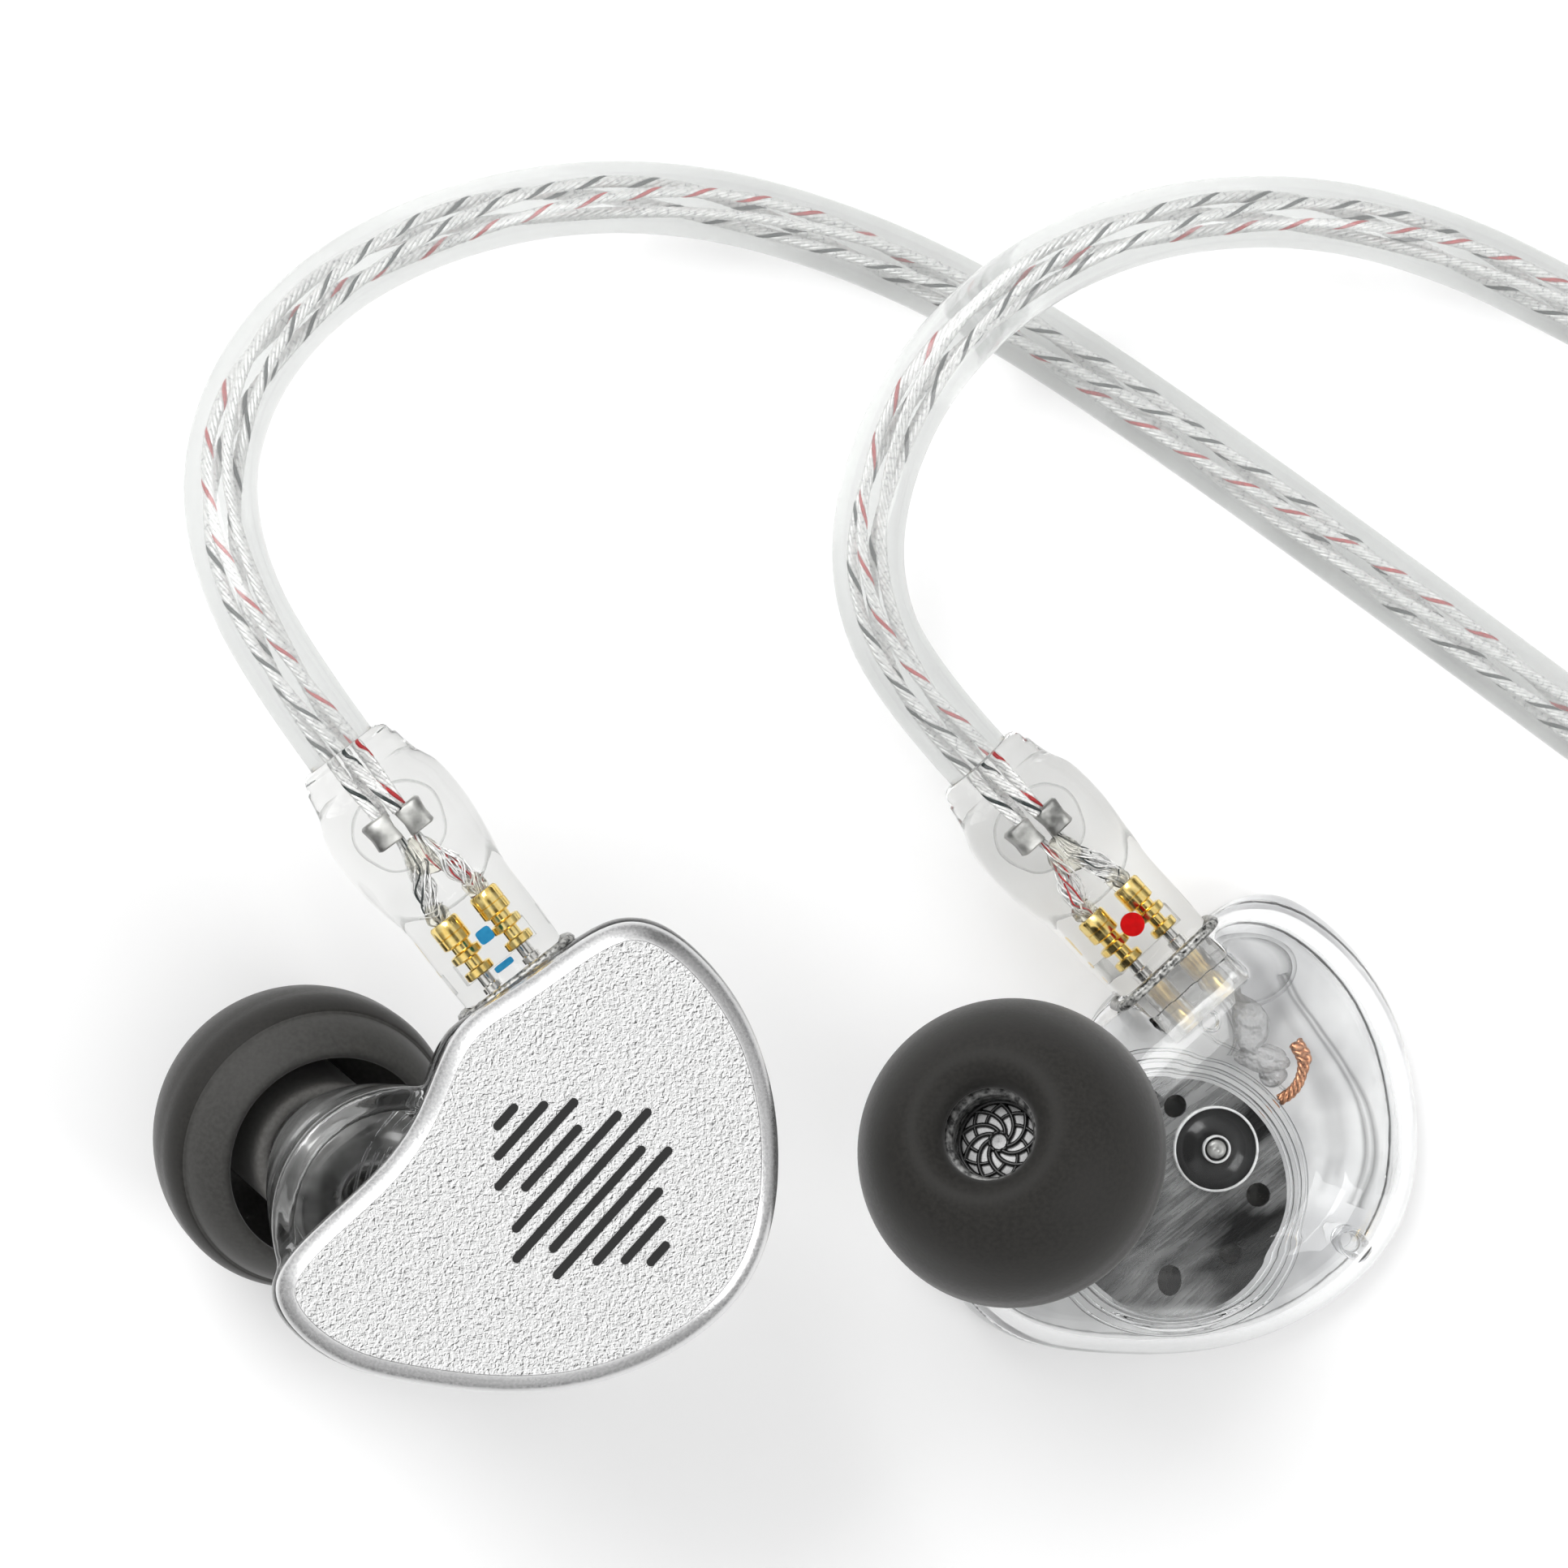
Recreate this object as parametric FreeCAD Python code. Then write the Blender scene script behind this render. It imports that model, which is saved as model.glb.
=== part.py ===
"""A pair of in ear monitors with detachable 2-pin cables, ear hooks and a 3.5 mm jack.

All lengths are millimetres, +Z is up, and the object lies on the plane z = 0. The right earpiece
lies on its faceplate with its nozzle up. The left one is its mirror twin, faceplate up, standing
on its ear tip. Each earpiece is drawn once, in a local frame whose z runs from the outer face of
the faceplate towards the nozzle.
"""
import FreeCAD
import Part
import math
import os

V = FreeCAD.Vector

# ---- driving dimensions -------------------------------------------------------------------
# earpiece places: centre of each faceplate, and the turn of the right one about the vertical
LEFT_CENTRE = (-17.1, -16.0)
RIGHT_CENTRE = (12.2, -15.65)
RIGHT_TURN = 5.3

# faceplate and shell
FACEPLATE_THICK = 1.7
RIM_CHAMFER = 0.45
OUTLINE = [
    (-2.70, 5.50), (-0.50, 7.10), (1.75, 8.65), (4.30, 9.75), (7.55, 7.85), (9.70, 4.10),
    (10.30, 0.10), (9.10, -5.00), (5.70, -8.00), (0.60, -9.45), (-4.70, -9.05),
    (-8.60, -7.65), (-10.25, -5.30), (-8.65, -2.75), (-5.95, -0.20), (-4.35, 2.20),
]
OUTLINE_SAMPLES = 40
SHELL_CROWN = (0.8, -1.6)
SHELL_LEVELS = [(0.0, 0.0), (1.3, -0.015), (2.7, 0.03), (4.0, 0.13), (5.0, 0.27), (5.6, 0.45)]
SHELL_WALL = 1.0
SHELL_WALL_SHARE = 0.11
NECK_LEVELS = [(2.0, -4.8, -2.6, 5.6), (5.0, -5.6, -1.9, 4.9), (7.0, -6.4, -1.2, 4.1)]

# nozzle axis: widest point of the ear tip, lean from the vertical, and heading of that lean
TIP_CENTRE = V(-8.45, 0.25, 12.9)
NOZZLE_LEAN = 24.0
NOZZLE_HEADING = 140.0
NOZZLE_BASE = -6.6
NOZZLE_END = 4.2
NOZZLE_R = 2.15
NOZZLE_LIP_R = 2.40
NOZZLE_BORE_R = 1.70
FILTER_R = 2.0
FILTER_THICK = 0.3

# ear tip
TIP_R = 6.5
TIP_TOP = 6.1
TIP_SKIRT = -2.7
TIP_OPENING_R = 4.8
TIP_WALL = 0.6
TIP_BORE_R = 1.95
TIP_STEM_INNER_R = 2.45
TIP_STEM_OUTER_R = 3.1

# driver
DRIVER_CENTRE = (-0.95, -2.45)
DRIVER_R = 5.0
DRIVER_TOP = 5.4
SEAT_INNER_R = 5.05
SEAT_OUTER_R = 5.40
SEAT_FLOOR = 2.55
VENT_HOLE_R = 0.52
VENT_HOLE_CIRCLE = 3.75
VENT_HOLE_ANGLES = [-7 - 45 * k for k in range(7)]
PORT_CENTRE = (1.1, -0.75)
PORT_R = 1.85

# 2-pin connector
PLUG_ROOT = (-0.20, 7.35)
PLUG_HEADING = 127.5
PLUG_Z = 4.5
PIN_PITCH = 2.0
PIN_R = 0.39
SOCKET_DEPTH = 2.9
SOCKET_WIDTH = 4.2
SOCKET_HEIGHT = 2.6
PLUG_LENGTH = 11.9
PLUG_SECTIONS = [
    (0.25, 2.45, 2.05, 4.0), (2.2, 2.50, 2.10, 4.0), (4.2, 2.52, 2.20, 3.4), (5.6, 2.80, 2.55, 2.6),
    (7.4, 3.00, 2.85, 2.2), (9.1, 2.90, 2.80, 2.1), (10.3, 2.45, 2.45, 2.0), (11.9, 2.15, 2.15, 2.0),
]
PLUG_WALL = 0.6
PLUG_CAVITY = (0.9, 10.0)

# ear hooks and the cable core inside them
HOOK_R = 1.55
HOOK_BORE_R = 1.15
CORE_R = 1.05
HOOK_START = 10.6
CORE_START = 8.5
LEFT_HOOK = [
    (-27.45, 4.75, 14.9), (-29.3, 8.9, 13.7), (-29.6, 13.0, 12.0), (-28.0, 17.2, 9.9),
    (-24.5, 20.9, 7.8), (-19.6, 23.4, 5.7), (-14.0, 24.7, 3.8), (-8.3, 24.6, 2.3),
    (-2.8, 23.2, 1.55), (2.4, 21.0, 1.55), (7.9, 17.8, 1.55), (18.2, 10.7, 1.55), (31.2, 1.2, 1.55),
]
RIGHT_HOOK = [
    (-0.16, 4.05, 4.5), (-1.75, 8.2, 4.7), (-1.3, 12.6, 5.2), (0.7, 17.0, 5.8), (4.4, 20.8, 6.1),
    (9.2, 23.2, 6.0), (14.4, 24.2, 5.0), (19.7, 24.0, 3.7), (24.8, 22.6, 2.3), (28.8, 20.8, 1.6),
    (31.9, 19.2, 1.55),
]

# free cable: two leads, a splitter and one main cord, all of the same round section
CORD_R = 1.0
LEAD_LENGTH = 310.0
MAIN_LENGTH = 800.0
COIL_FLOOR = 0.45
LEFT_COIL = dict(centre=(47.0, -16.0), inner=8.8, outer=12.4, layers=2)
RIGHT_COIL = dict(centre=(51.5, 21.5), inner=8.8, outer=12.4, layers=2)
MAIN_COIL = dict(centre=(87.0, -14.5), inner=8.3, outer=13.7, layers=4)
LEFT_LEAD_IN = [(31.2, 1.2, 1.55), (36.5, -1.4, 1.5), (43.5, -3.2, 1.45), (50.2, -4.0, 1.45)]
RIGHT_LEAD_IN = [(31.9, 19.2, 1.55), (37.0, 16.3, 1.5), (41.3, 13.4, 1.45), (44.8, 11.05, 1.45)]
LEFT_LEAD_OUT = [
    (45.9, -3.65, 3.45), (51.3, -3.1, 3.4), (56.5, -1.4, 2.9), (61.2, 1.3, 2.3), (66.0, 3.4, 2.2),
    (73.7, 3.42, 2.2), (81.0, 3.4, 2.2),
]
RIGHT_LEAD_OUT = [
    (50.4, 9.15, 3.45), (55.7, 8.9, 3.2), (60.9, 7.5, 2.5), (66.0, 6.0, 2.2),
    (73.7, 5.98, 2.2), (81.0, 6.0, 2.2),
]
MAIN_IN = [
    (91.0, 4.7, 2.2), (95.4, 4.5, 1.9), (99.0, 2.0, 1.5), (101.3, -2.2, 1.45), (101.7, -7.2, 1.45),
    (100.5, -12.1, 1.45),
]
MAIN_OUT = [(87.0, -28.2, 7.45), (82.0, -29.3, 6.6), (77.0, -31.2, 4.5), (72.0, -32.6, 3.1)]
SLIDER_X = (75.5, 80.0)
SPLITTER_X = (81.0, 91.0)
LEAD_LINES_Y = (3.4, 6.0)
RUN_Z = 2.2

# 3.5 mm jack, lying along -X from the end of the main cord
JACK_START = V(72.0, -32.6, 3.1)
JACK_PIN_R = 1.75
JACK_PIN_LENGTH = 14.0
JACK_HOUSING_R = 3.1
JACK_HOUSING_LENGTH = 13.0
JACK_RELIEF_LENGTH = 6.0

os.makedirs("parts", exist_ok=True)


# ---- small helpers ------------------------------------------------------------------------
def save(name, *solids):
    """Write one node: a single solid, or a group of separate solids."""
    shape = solids[0] if len(solids) == 1 else Part.makeCompound(list(solids))
    for solid in shape.Solids:
        if not solid.isValid() or solid.Volume <= 0:
            print("bad solid in", name)
    print(f"{name:24s} solids {len(shape.Solids)}  volume {shape.Volume:9.3f}")
    shape.exportStep(f"parts/{name}.step")


def unit(angle):
    """Unit vector in the horizontal plane."""
    return V(math.cos(math.radians(angle)), math.sin(math.radians(angle)), 0)


def closed_spline(points):
    curve = Part.BSplineCurve()
    curve.interpolate(Points=points, PeriodicFlag=True)
    return Part.Wire([curve.toShape()])


def ring(radius_out, radius_in, z0, z1, centre=(0, 0)):
    """A tube standing on z0, or a plain disc when radius_in is zero."""
    base = V(centre[0], centre[1], z0)
    body = Part.makeCylinder(radius_out, z1 - z0, base)
    if radius_in > 0:
        body = body.cut(Part.makeCylinder(radius_in, z1 - z0 + 2, base - V(0, 0, 1)))
    return body


def revolve(profile):
    """Turn a closed polygon of (radius, height) about Z; items may be arcs of three points."""
    edges = []
    for step in profile:
        points = [V(r, 0, z) for r, z in step]
        if len(points) == 2:
            edges.append(Part.LineSegment(*points).toShape())
        else:
            edges.append(Part.Arc(*points).toShape())
    face = Part.Face(Part.Wire(edges))
    return face.revolve(V(0, 0, 0), V(0, 0, 1), 360)


def steps(points):
    """Straight profile edges through the points and back to the first."""
    return [(a, b) for a, b in zip(points, points[1:] + points[:1])]


def aim(shape, base, direction):
    """Move a shape drawn along +Z so that it starts at base and runs along direction."""
    turn = FreeCAD.Rotation(V(0, 0, 1), direction)
    out = shape.copy()
    out.Placement = FreeCAD.Placement(base, turn).multiply(out.Placement)
    return out


def tube_path(points):
    """Straight runs joined by tangent arcs, as large as the runs allow."""
    points = [V(*p) for p in points]
    edges = []
    radii = []
    here = points[0]
    for before, corner, after in zip(points, points[1:], points[2:]):
        run_in = (corner - before)
        run_out = (after - corner)
        turn = run_in.getAngle(run_out)
        reach = 0.45 * min(run_in.Length, run_out.Length)
        u = V(run_in).normalize()
        w = V(run_out).normalize()
        radius = reach / math.tan(turn / 2)
        start = corner - u * reach
        end = corner + w * reach
        bisector = (w - u).normalize()
        centre = corner + bisector * (radius / math.cos(turn / 2))
        middle = centre - bisector * radius
        edges.append(Part.LineSegment(here, start).toShape())
        edges.append(Part.Arc(start, middle, end).toShape())
        radii.append(radius)
        here = end
    edges.append(Part.LineSegment(here, points[-1]).toShape())
    return Part.Wire(edges), radii


def tube(points, radius, name=""):
    """A round solid along a route; prints how its volume and bends compare."""
    path, radii = tube_path(points)
    heading = V(*points[1]) - V(*points[0])
    circle = Part.Wire([Part.makeCircle(radius, V(*points[0]), heading)])
    solid = path.makePipeShell([circle], True, False)
    expected = math.pi * radius ** 2 * path.Length
    if name:
        print(f"  {name}: length {path.Length:.1f}, volume ratio {solid.Volume / expected:.4f},",
              f"smallest bend {min(radii):.1f}")
    return solid


# ---- the two sides ------------------------------------------------------------------------
nozzle_axis = (unit(NOZZLE_HEADING) * math.sin(math.radians(NOZZLE_LEAN))
               + V(0, 0, math.cos(math.radians(NOZZLE_LEAN))))
plug_axis = unit(PLUG_HEADING)
plug_side = V(-plug_axis.y, plug_axis.x, 0)
plug_root = V(PLUG_ROOT[0], PLUG_ROOT[1], PLUG_Z)


def along_plug(shape, side_offset=0.0):
    """Place a shape drawn along +Z (its X across the plug) on the plug's axis."""
    frame = FreeCAD.Matrix(
        plug_side.x, 0, plug_axis.x, plug_root.x + plug_side.x * side_offset,
        plug_side.y, 0, plug_axis.y, plug_root.y + plug_side.y * side_offset,
        0, 1, 0, plug_root.z,
        0, 0, 0, 1)
    return shape.transformed(frame)


def place(shape, side, height):
    """From the local frame to the object's frame."""
    if side == "left":
        flipped = shape.mirror(V(0, 0, 0), V(0, 0, 1))
        return flipped.translated(V(LEFT_CENTRE[0], LEFT_CENTRE[1], height))
    turned = shape.rotated(V(0, 0, 0), V(0, 0, 1), RIGHT_TURN)
    return turned.translated(V(RIGHT_CENTRE[0], RIGHT_CENTRE[1], 0))


def plug_point(side, distance, height):
    """A point on the plug's axis in the object's frame."""
    point = plug_root + plug_axis * distance
    if side == "left":
        return (point.x + LEFT_CENTRE[0], point.y + LEFT_CENTRE[1], height - point.z)
    turned = FreeCAD.Rotation(V(0, 0, 1), RIGHT_TURN).multVec(point)
    return (turned.x + RIGHT_CENTRE[0], turned.y + RIGHT_CENTRE[1], turned.z)


# ---- earpiece -----------------------------------------------------------------------------
outline_samples = closed_spline([V(x, y, 0) for x, y in OUTLINE]).discretize(OUTLINE_SAMPLES + 1)
outline_samples = outline_samples[:OUTLINE_SAMPLES]


def outline(inset, z):
    """The faceplate's outline, moved inwards by inset, at height z."""
    points = []
    for i, point in enumerate(outline_samples):
        tangent = outline_samples[(i + 1) % OUTLINE_SAMPLES] - outline_samples[i - 1]
        inward = V(tangent.y, -tangent.x, 0).normalize()
        points.append(point + inward * inset + V(0, 0, z))
    return closed_spline(points)


def shrunk_outline(share, z):
    """The faceplate's outline, drawn in towards the shell's crown by a share of its size."""
    crown = V(SHELL_CROWN[0], SHELL_CROWN[1], 0)
    points = [point + (crown - point) * share + V(0, 0, z) for point in outline_samples]
    return closed_spline(points)


def faceplate():
    rim = Part.makeLoft([outline(RIM_CHAMFER, 0), outline(0, RIM_CHAMFER)], True, True)
    plate = Part.makeLoft([outline(0, RIM_CHAMFER), outline(0, FACEPLATE_THICK)], True, True)
    return rim.fuse(plate).removeSplitter()


def nozzle_point(distance):
    return TIP_CENTRE + nozzle_axis * distance


def neck(shrink, drop):
    """Loft from a wide oval foot in the shell up to a ring round the nozzle."""
    wires = [Part.Wire([Part.makeCircle(r - shrink, V(x, y, z - drop))])
             for z, x, y, r in NECK_LEVELS]
    top = nozzle_point(-4.0 - drop)
    wires.append(Part.Wire([Part.makeCircle(3.2 - shrink, top, nozzle_axis)]))
    return Part.makeLoft(wires, True, False)


def dome(extra, depth):
    """The shell's body above the faceplate, following its outline."""
    levels = [(FACEPLATE_THICK + z * depth, share + extra) for z, share in SHELL_LEVELS]
    return Part.makeLoft([shrunk_outline(share, z) for z, share in levels], True, False)


def shell():
    nozzle = revolve(steps([
        (0.01, NOZZLE_BASE), (NOZZLE_R, NOZZLE_BASE), (NOZZLE_R, NOZZLE_END - 1.2),
        (NOZZLE_LIP_R, NOZZLE_END - 0.9), (NOZZLE_LIP_R, NOZZLE_END), (0.01, NOZZLE_END)]))
    nozzle = aim(nozzle, TIP_CENTRE, nozzle_axis)
    bore = Part.makeCylinder(NOZZLE_BORE_R, NOZZLE_END - NOZZLE_BASE + 3,
                             nozzle_point(NOZZLE_BASE - 1), nozzle_axis)
    seat = Part.makeCylinder(FILTER_R + 0.03, 3, nozzle_point(NOZZLE_END - FILTER_THICK),
                             nozzle_axis)
    body = dome(0, 1.0).fuse(neck(0, 0)).fuse(nozzle)
    hollow = dome(SHELL_WALL_SHARE, 0.84).fuse(neck(SHELL_WALL, 0.6))
    open_back = Part.makeLoft([shrunk_outline(SHELL_WALL_SHARE, FACEPLATE_THICK - 0.5),
                               shrunk_outline(SHELL_WALL_SHARE, FACEPLATE_THICK + 0.3)], True, True)
    socket_hole = along_plug(Part.makeBox(
        SOCKET_WIDTH + 0.06, SOCKET_HEIGHT + 0.06, SOCKET_DEPTH + 3,
        V(-SOCKET_WIDTH / 2 - 0.03, -SOCKET_HEIGHT / 2 - 0.03, -SOCKET_DEPTH)))
    driver_pocket = ring(SEAT_OUTER_R + 0.03, 0, SEAT_FLOOR - 0.03, DRIVER_TOP + 0.1, DRIVER_CENTRE)
    hollow = hollow.fuse(open_back).fuse(driver_pocket)
    return body.cut(hollow).cut(bore).cut(seat).cut(socket_hole)


def ear_tip():
    """A silicone dome with a curled-in skirt, on a stem that grips the nozzle."""
    wall = TIP_WALL
    return aim(revolve([
        ((TIP_BORE_R, TIP_TOP - 0.5), (TIP_BORE_R + 0.15, TIP_TOP - 0.1), (TIP_BORE_R + 0.6, TIP_TOP)),
        ((TIP_BORE_R + 0.6, TIP_TOP), (5.1, 4.35), (TIP_R, 0.3)),
        ((TIP_R, 0.3), (6.3, -1.2), (TIP_OPENING_R, TIP_SKIRT)),
        ((TIP_OPENING_R, TIP_SKIRT), (TIP_OPENING_R - 0.25, TIP_SKIRT + 0.45)),
        ((TIP_OPENING_R - 0.25, TIP_SKIRT + 0.45), (5.65, -0.9), (TIP_R - wall, 0.3)),
        ((TIP_R - wall, 0.3), (4.75, 3.35), (TIP_STEM_OUTER_R, 4.55)),
        ((TIP_STEM_OUTER_R, 4.55), (TIP_STEM_OUTER_R, -1.9)),
        ((TIP_STEM_OUTER_R, -1.9), (TIP_STEM_INNER_R, -1.9)),
        ((TIP_STEM_INNER_R, -1.9), (TIP_STEM_INNER_R, 4.5)),
        ((TIP_STEM_INNER_R, 4.5), (TIP_BORE_R, 4.7)),
        ((TIP_BORE_R, 4.7), (TIP_BORE_R, TIP_TOP - 0.5)),
    ]), TIP_CENTRE, nozzle_axis)


def nozzle_filter():
    """Perforated disc in the nozzle's mouth."""
    disc = ring(FILTER_R, 0, 0, FILTER_THICK - 0.02)
    holes = [Part.makeCylinder(0.24, 1, V(0, 0, -0.3))]
    for count, circle, radius in ((6, 0.72, 0.2), (12, 1.3, 0.22)):
        for k in range(count):
            spot = unit(360.0 * k / count) * circle
            holes.append(Part.makeCylinder(radius, 1, spot - V(0, 0, 0.3)))
    disc = disc.cut(Part.makeCompound(holes))
    return aim(disc, nozzle_point(NOZZLE_END - FILTER_THICK + 0.01), nozzle_axis)


def driver_frame():
    """Thin metal can with a vented plate facing the nozzle."""
    can = ring(DRIVER_R, 0, 2.9, DRIVER_TOP, DRIVER_CENTRE)
    can = can.cut(ring(DRIVER_R - 0.25, 0, 2.5, DRIVER_TOP - 0.3, DRIVER_CENTRE))
    centre = V(DRIVER_CENTRE[0], DRIVER_CENTRE[1], DRIVER_TOP - 1)
    for angle in VENT_HOLE_ANGLES:
        can = can.cut(Part.makeCylinder(VENT_HOLE_R, 3, centre + unit(angle) * VENT_HOLE_CIRCLE))
    return can


def magnet_cup():
    """Steel yoke with a central magnet; the voice coil moves in the gap between them."""
    x, y = DRIVER_CENTRE
    cup = ring(DRIVER_R - 0.6, 0, 1.95, 2.55, (x, y))
    cup = cup.fuse(ring(3.7, 2.95, 2.55, 3.7, (x, y)))
    return cup.fuse(ring(2.1, 0, 2.55, 3.75, (x, y)))


def diaphragm():
    """Domed film with a shallow surround."""
    film = revolve([
        ((0.01, 4.60), (1.4, 4.45), (2.4, 4.10)), ((2.4, 4.10), (3.6, 4.35), (4.7, 4.10)),
        ((4.7, 4.10), (4.7, 4.02)), ((4.7, 4.02), (3.6, 4.27), (2.4, 4.02)),
        ((2.4, 4.02), (1.4, 4.37), (0.01, 4.52)), ((0.01, 4.52), (0.01, 4.60))])
    return film.translated(V(DRIVER_CENTRE[0], DRIVER_CENTRE[1], 0))


def vent_port():
    """Round damper with a raised ring and a short centre tube, on the driver's plate."""
    disc = ring(PORT_R - 0.12, 0.5, DRIVER_TOP, DRIVER_TOP + 0.2, PORT_CENTRE)
    rim = ring(PORT_R, PORT_R - 0.12, DRIVER_TOP, DRIVER_TOP + 0.35, PORT_CENTRE)
    stub = ring(0.5, 0.3, DRIVER_TOP, DRIVER_TOP + 0.55, PORT_CENTRE)
    return disc.fuse(rim).fuse(stub)


def socket_body():
    block = Part.makeBox(SOCKET_WIDTH, SOCKET_HEIGHT, SOCKET_DEPTH,
                         V(-SOCKET_WIDTH / 2, -SOCKET_HEIGHT / 2, -SOCKET_DEPTH + 0.02))
    for x in (-PIN_PITCH / 2, PIN_PITCH / 2):
        block = block.cut(Part.makeCylinder(0.64, SOCKET_DEPTH + 2, V(x, 0, -SOCKET_DEPTH - 1)))
    return along_plug(block)


def socket_contacts():
    sleeve = ring(0.62, 0.43, -SOCKET_DEPTH + 0.05, -0.05)
    return [along_plug(sleeve, x) for x in (-PIN_PITCH / 2, PIN_PITCH / 2)]


def driver_wires():
    routes = [
        [(1.55, 3.9, 6.05), (3.0, 4.1, 5.9), (4.3, 3.4, 5.2), (4.9, 2.0, 4.6), (4.9, 0.5, 4.3)],
        [(3.2, 5.1, 6.0), (4.5, 4.5, 5.6), (5.4, 3.0, 4.9), (5.5, 1.3, 4.4), (5.2, -0.5, 4.2)],
    ]
    return [tube(route, 0.16) for route in routes]


# ---- plug ---------------------------------------------------------------------------------
def plug_section(distance, half_width, half_height, power):
    """Closed rounded section across the plug."""
    points = []
    for k in range(24):
        angle = 2 * math.pi * k / 24
        c = math.cos(angle)
        s = math.sin(angle)
        size = (abs(c) ** power + abs(s) ** power) ** (-1 / power)
        points.append(V(half_width * size * c, half_height * size * s, distance))
    return closed_spline(points)


def plug_housing():
    outer = Part.makeLoft([plug_section(*row) for row in PLUG_SECTIONS], True, False)
    low, high = PLUG_CAVITY
    rows = [(low, 2.45, 2.05, 4.0)] + PLUG_SECTIONS[1:6] + [(high, 2.5, 2.5, 2.0)]
    inner = Part.makeLoft([plug_section(d, w - PLUG_WALL, h - PLUG_WALL, p) for d, w, h, p in rows],
                          True, False)
    body = outer.cut(inner)
    body = body.cut(Part.makeCylinder(HOOK_R + 0.03, 3, V(0, 0, HOOK_START - 0.05)))
    body = body.cut(Part.makeCylinder(CORE_R + 0.04, 3, V(0, 0, high - 1)))
    for x in (-PIN_PITCH / 2, PIN_PITCH / 2):
        body = body.cut(Part.makeCylinder(PIN_R + 0.02, 3, V(x, 0, -1)))
    return along_plug(body)


def plug_carrier():
    block = Part.makeBox(3.4, 2.1, 1.7, V(-1.7, -1.05, 1.1))
    for x in (-PIN_PITCH / 2, PIN_PITCH / 2):
        block = block.cut(Part.makeCylinder(0.74, 4, V(x, 0, 0)))
    return along_plug(block)


def plug_contacts():
    pin = revolve(steps([
        (0.01, -SOCKET_DEPTH + 0.5), (PIN_R, -SOCKET_DEPTH + 0.7), (PIN_R, 0.95), (0.70, 0.95),
        (0.70, 1.40), (0.42, 1.45), (0.42, 1.85), (0.72, 1.90), (0.72, 2.35), (0.62, 2.40),
        (0.62, 3.85), (0.01, 3.85)]))
    return [along_plug(pin, x) for x in (-PIN_PITCH / 2, PIN_PITCH / 2)]


def plug_wires():
    wires = []
    for sign in (-1, 1):
        route = [(sign * 0.34, 0, 8.45), (sign * 0.34, 0.05, 7.0), (sign * 0.55, 0.1, 5.6),
                 (sign * 0.95, 0.02, 4.7), (sign * 1.0, 0, 3.87)]
        wires.append(along_plug(tube(route, 0.26)))
    return wires


def plug_crimp():
    band = Part.makeBox(2.3, 1.7, 1.3, V(-1.15, -0.85, 7.05))
    band = band.cut(Part.makeBox(1.5, 0.9, 3, V(-0.75, -0.45, 6)))
    return along_plug(band)


def channel_marker(side):
    """Right: one dot. Left: a short block and a bar. Each faces away from the nozzle's rest."""
    if side == "right":
        return [along_plug(Part.makeCylinder(0.5, 0.25, V(0, 1.2, 2.35), V(0, 1, 0)))]
    block = Part.makeBox(0.9, 0.25, 0.7, V(-0.45, -1.45, 2.0))
    bar = Part.makeBox(1.3, 0.25, 0.3, V(-0.65, -1.45, 1.15))
    return [along_plug(block), along_plug(bar)]


# ---- cable --------------------------------------------------------------------------------
def coil_solid(coil):
    """Outer shape of a neat round coil lying flat."""
    x, y = coil["centre"]
    top = COIL_FLOOR + 2 * CORD_R * coil["layers"]
    body = ring(coil["outer"] + CORD_R, coil["inner"] - CORD_R, COIL_FLOOR, top, (x, y))
    return body.makeFillet(0.7, body.Edges)


def coil_turns(length, coil, *runs):
    """Turns a cable of that length makes in its coil, once its straight runs are taken off."""
    free = length - sum(tube_path(run)[0].Length for run in runs)
    return free / (math.pi * (coil["inner"] + coil["outer"]))


def coil_tie(coil, angle):
    """A thin strap round the coil's section."""
    gap = 0.05
    thick = COIL_FLOOR - 2 * gap
    inner = coil["inner"] - CORD_R - 0.2
    outer = coil["outer"] + CORD_R + gap
    top = COIL_FLOOR + 2 * CORD_R * coil["layers"] + gap
    band = Part.makeBox(outer - inner + 2 * thick, 3.0, top + thick, V(inner - thick, -1.5, 0))
    band = band.cut(Part.makeBox(outer - inner, 5.0, top - thick, V(inner, -2.5, thick)))
    band = band.rotated(V(0, 0, 0), V(0, 0, 1), angle)
    return band.translated(V(coil["centre"][0], coil["centre"][1], 0))


def rounded_block(x0, x1, y0, y1, z0, z1, radius):
    block = Part.makeBox(x1 - x0, y1 - y0, z1 - z0, V(x0, y0, z0))
    return block.makeFillet(radius, block.Edges)


def lead_bores(x0, x1, radius):
    return [Part.makeCylinder(radius, x1 - x0, V(x0, y, RUN_Z), V(1, 0, 0)) for y in LEAD_LINES_Y]


def chin_slider():
    x0, x1 = SLIDER_X
    body = rounded_block(x0, x1, 1.35, 8.05, 0.05, 4.35, 1.0)
    return body.cut(Part.makeCompound(lead_bores(x0 - 1, x1 + 1, CORD_R + 0.08)))


def y_splitter():
    """A flattened barrel, wide where the two leads enter and narrow at the main cord."""
    x0, x1 = SPLITTER_X
    y = sum(LEAD_LINES_Y) / 2
    rows = [(x0, 3.3, 2.05), (x0 + 1.5, 3.5, 2.15), (x0 + 6.0, 3.3, 2.15), (x0 + 9.0, 2.1, 1.9),
            (x1, 1.8, 1.7)]
    wires = []
    for x, half_width, half_height in rows:
        wire = plug_section(0, half_width, half_height, 2.8)
        wires.append(wire.rotated(V(0, 0, 0), V(1, 1, 1), 120).translated(V(x, y, RUN_Z)))
    return Part.makeLoft(wires, True, False)


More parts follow.
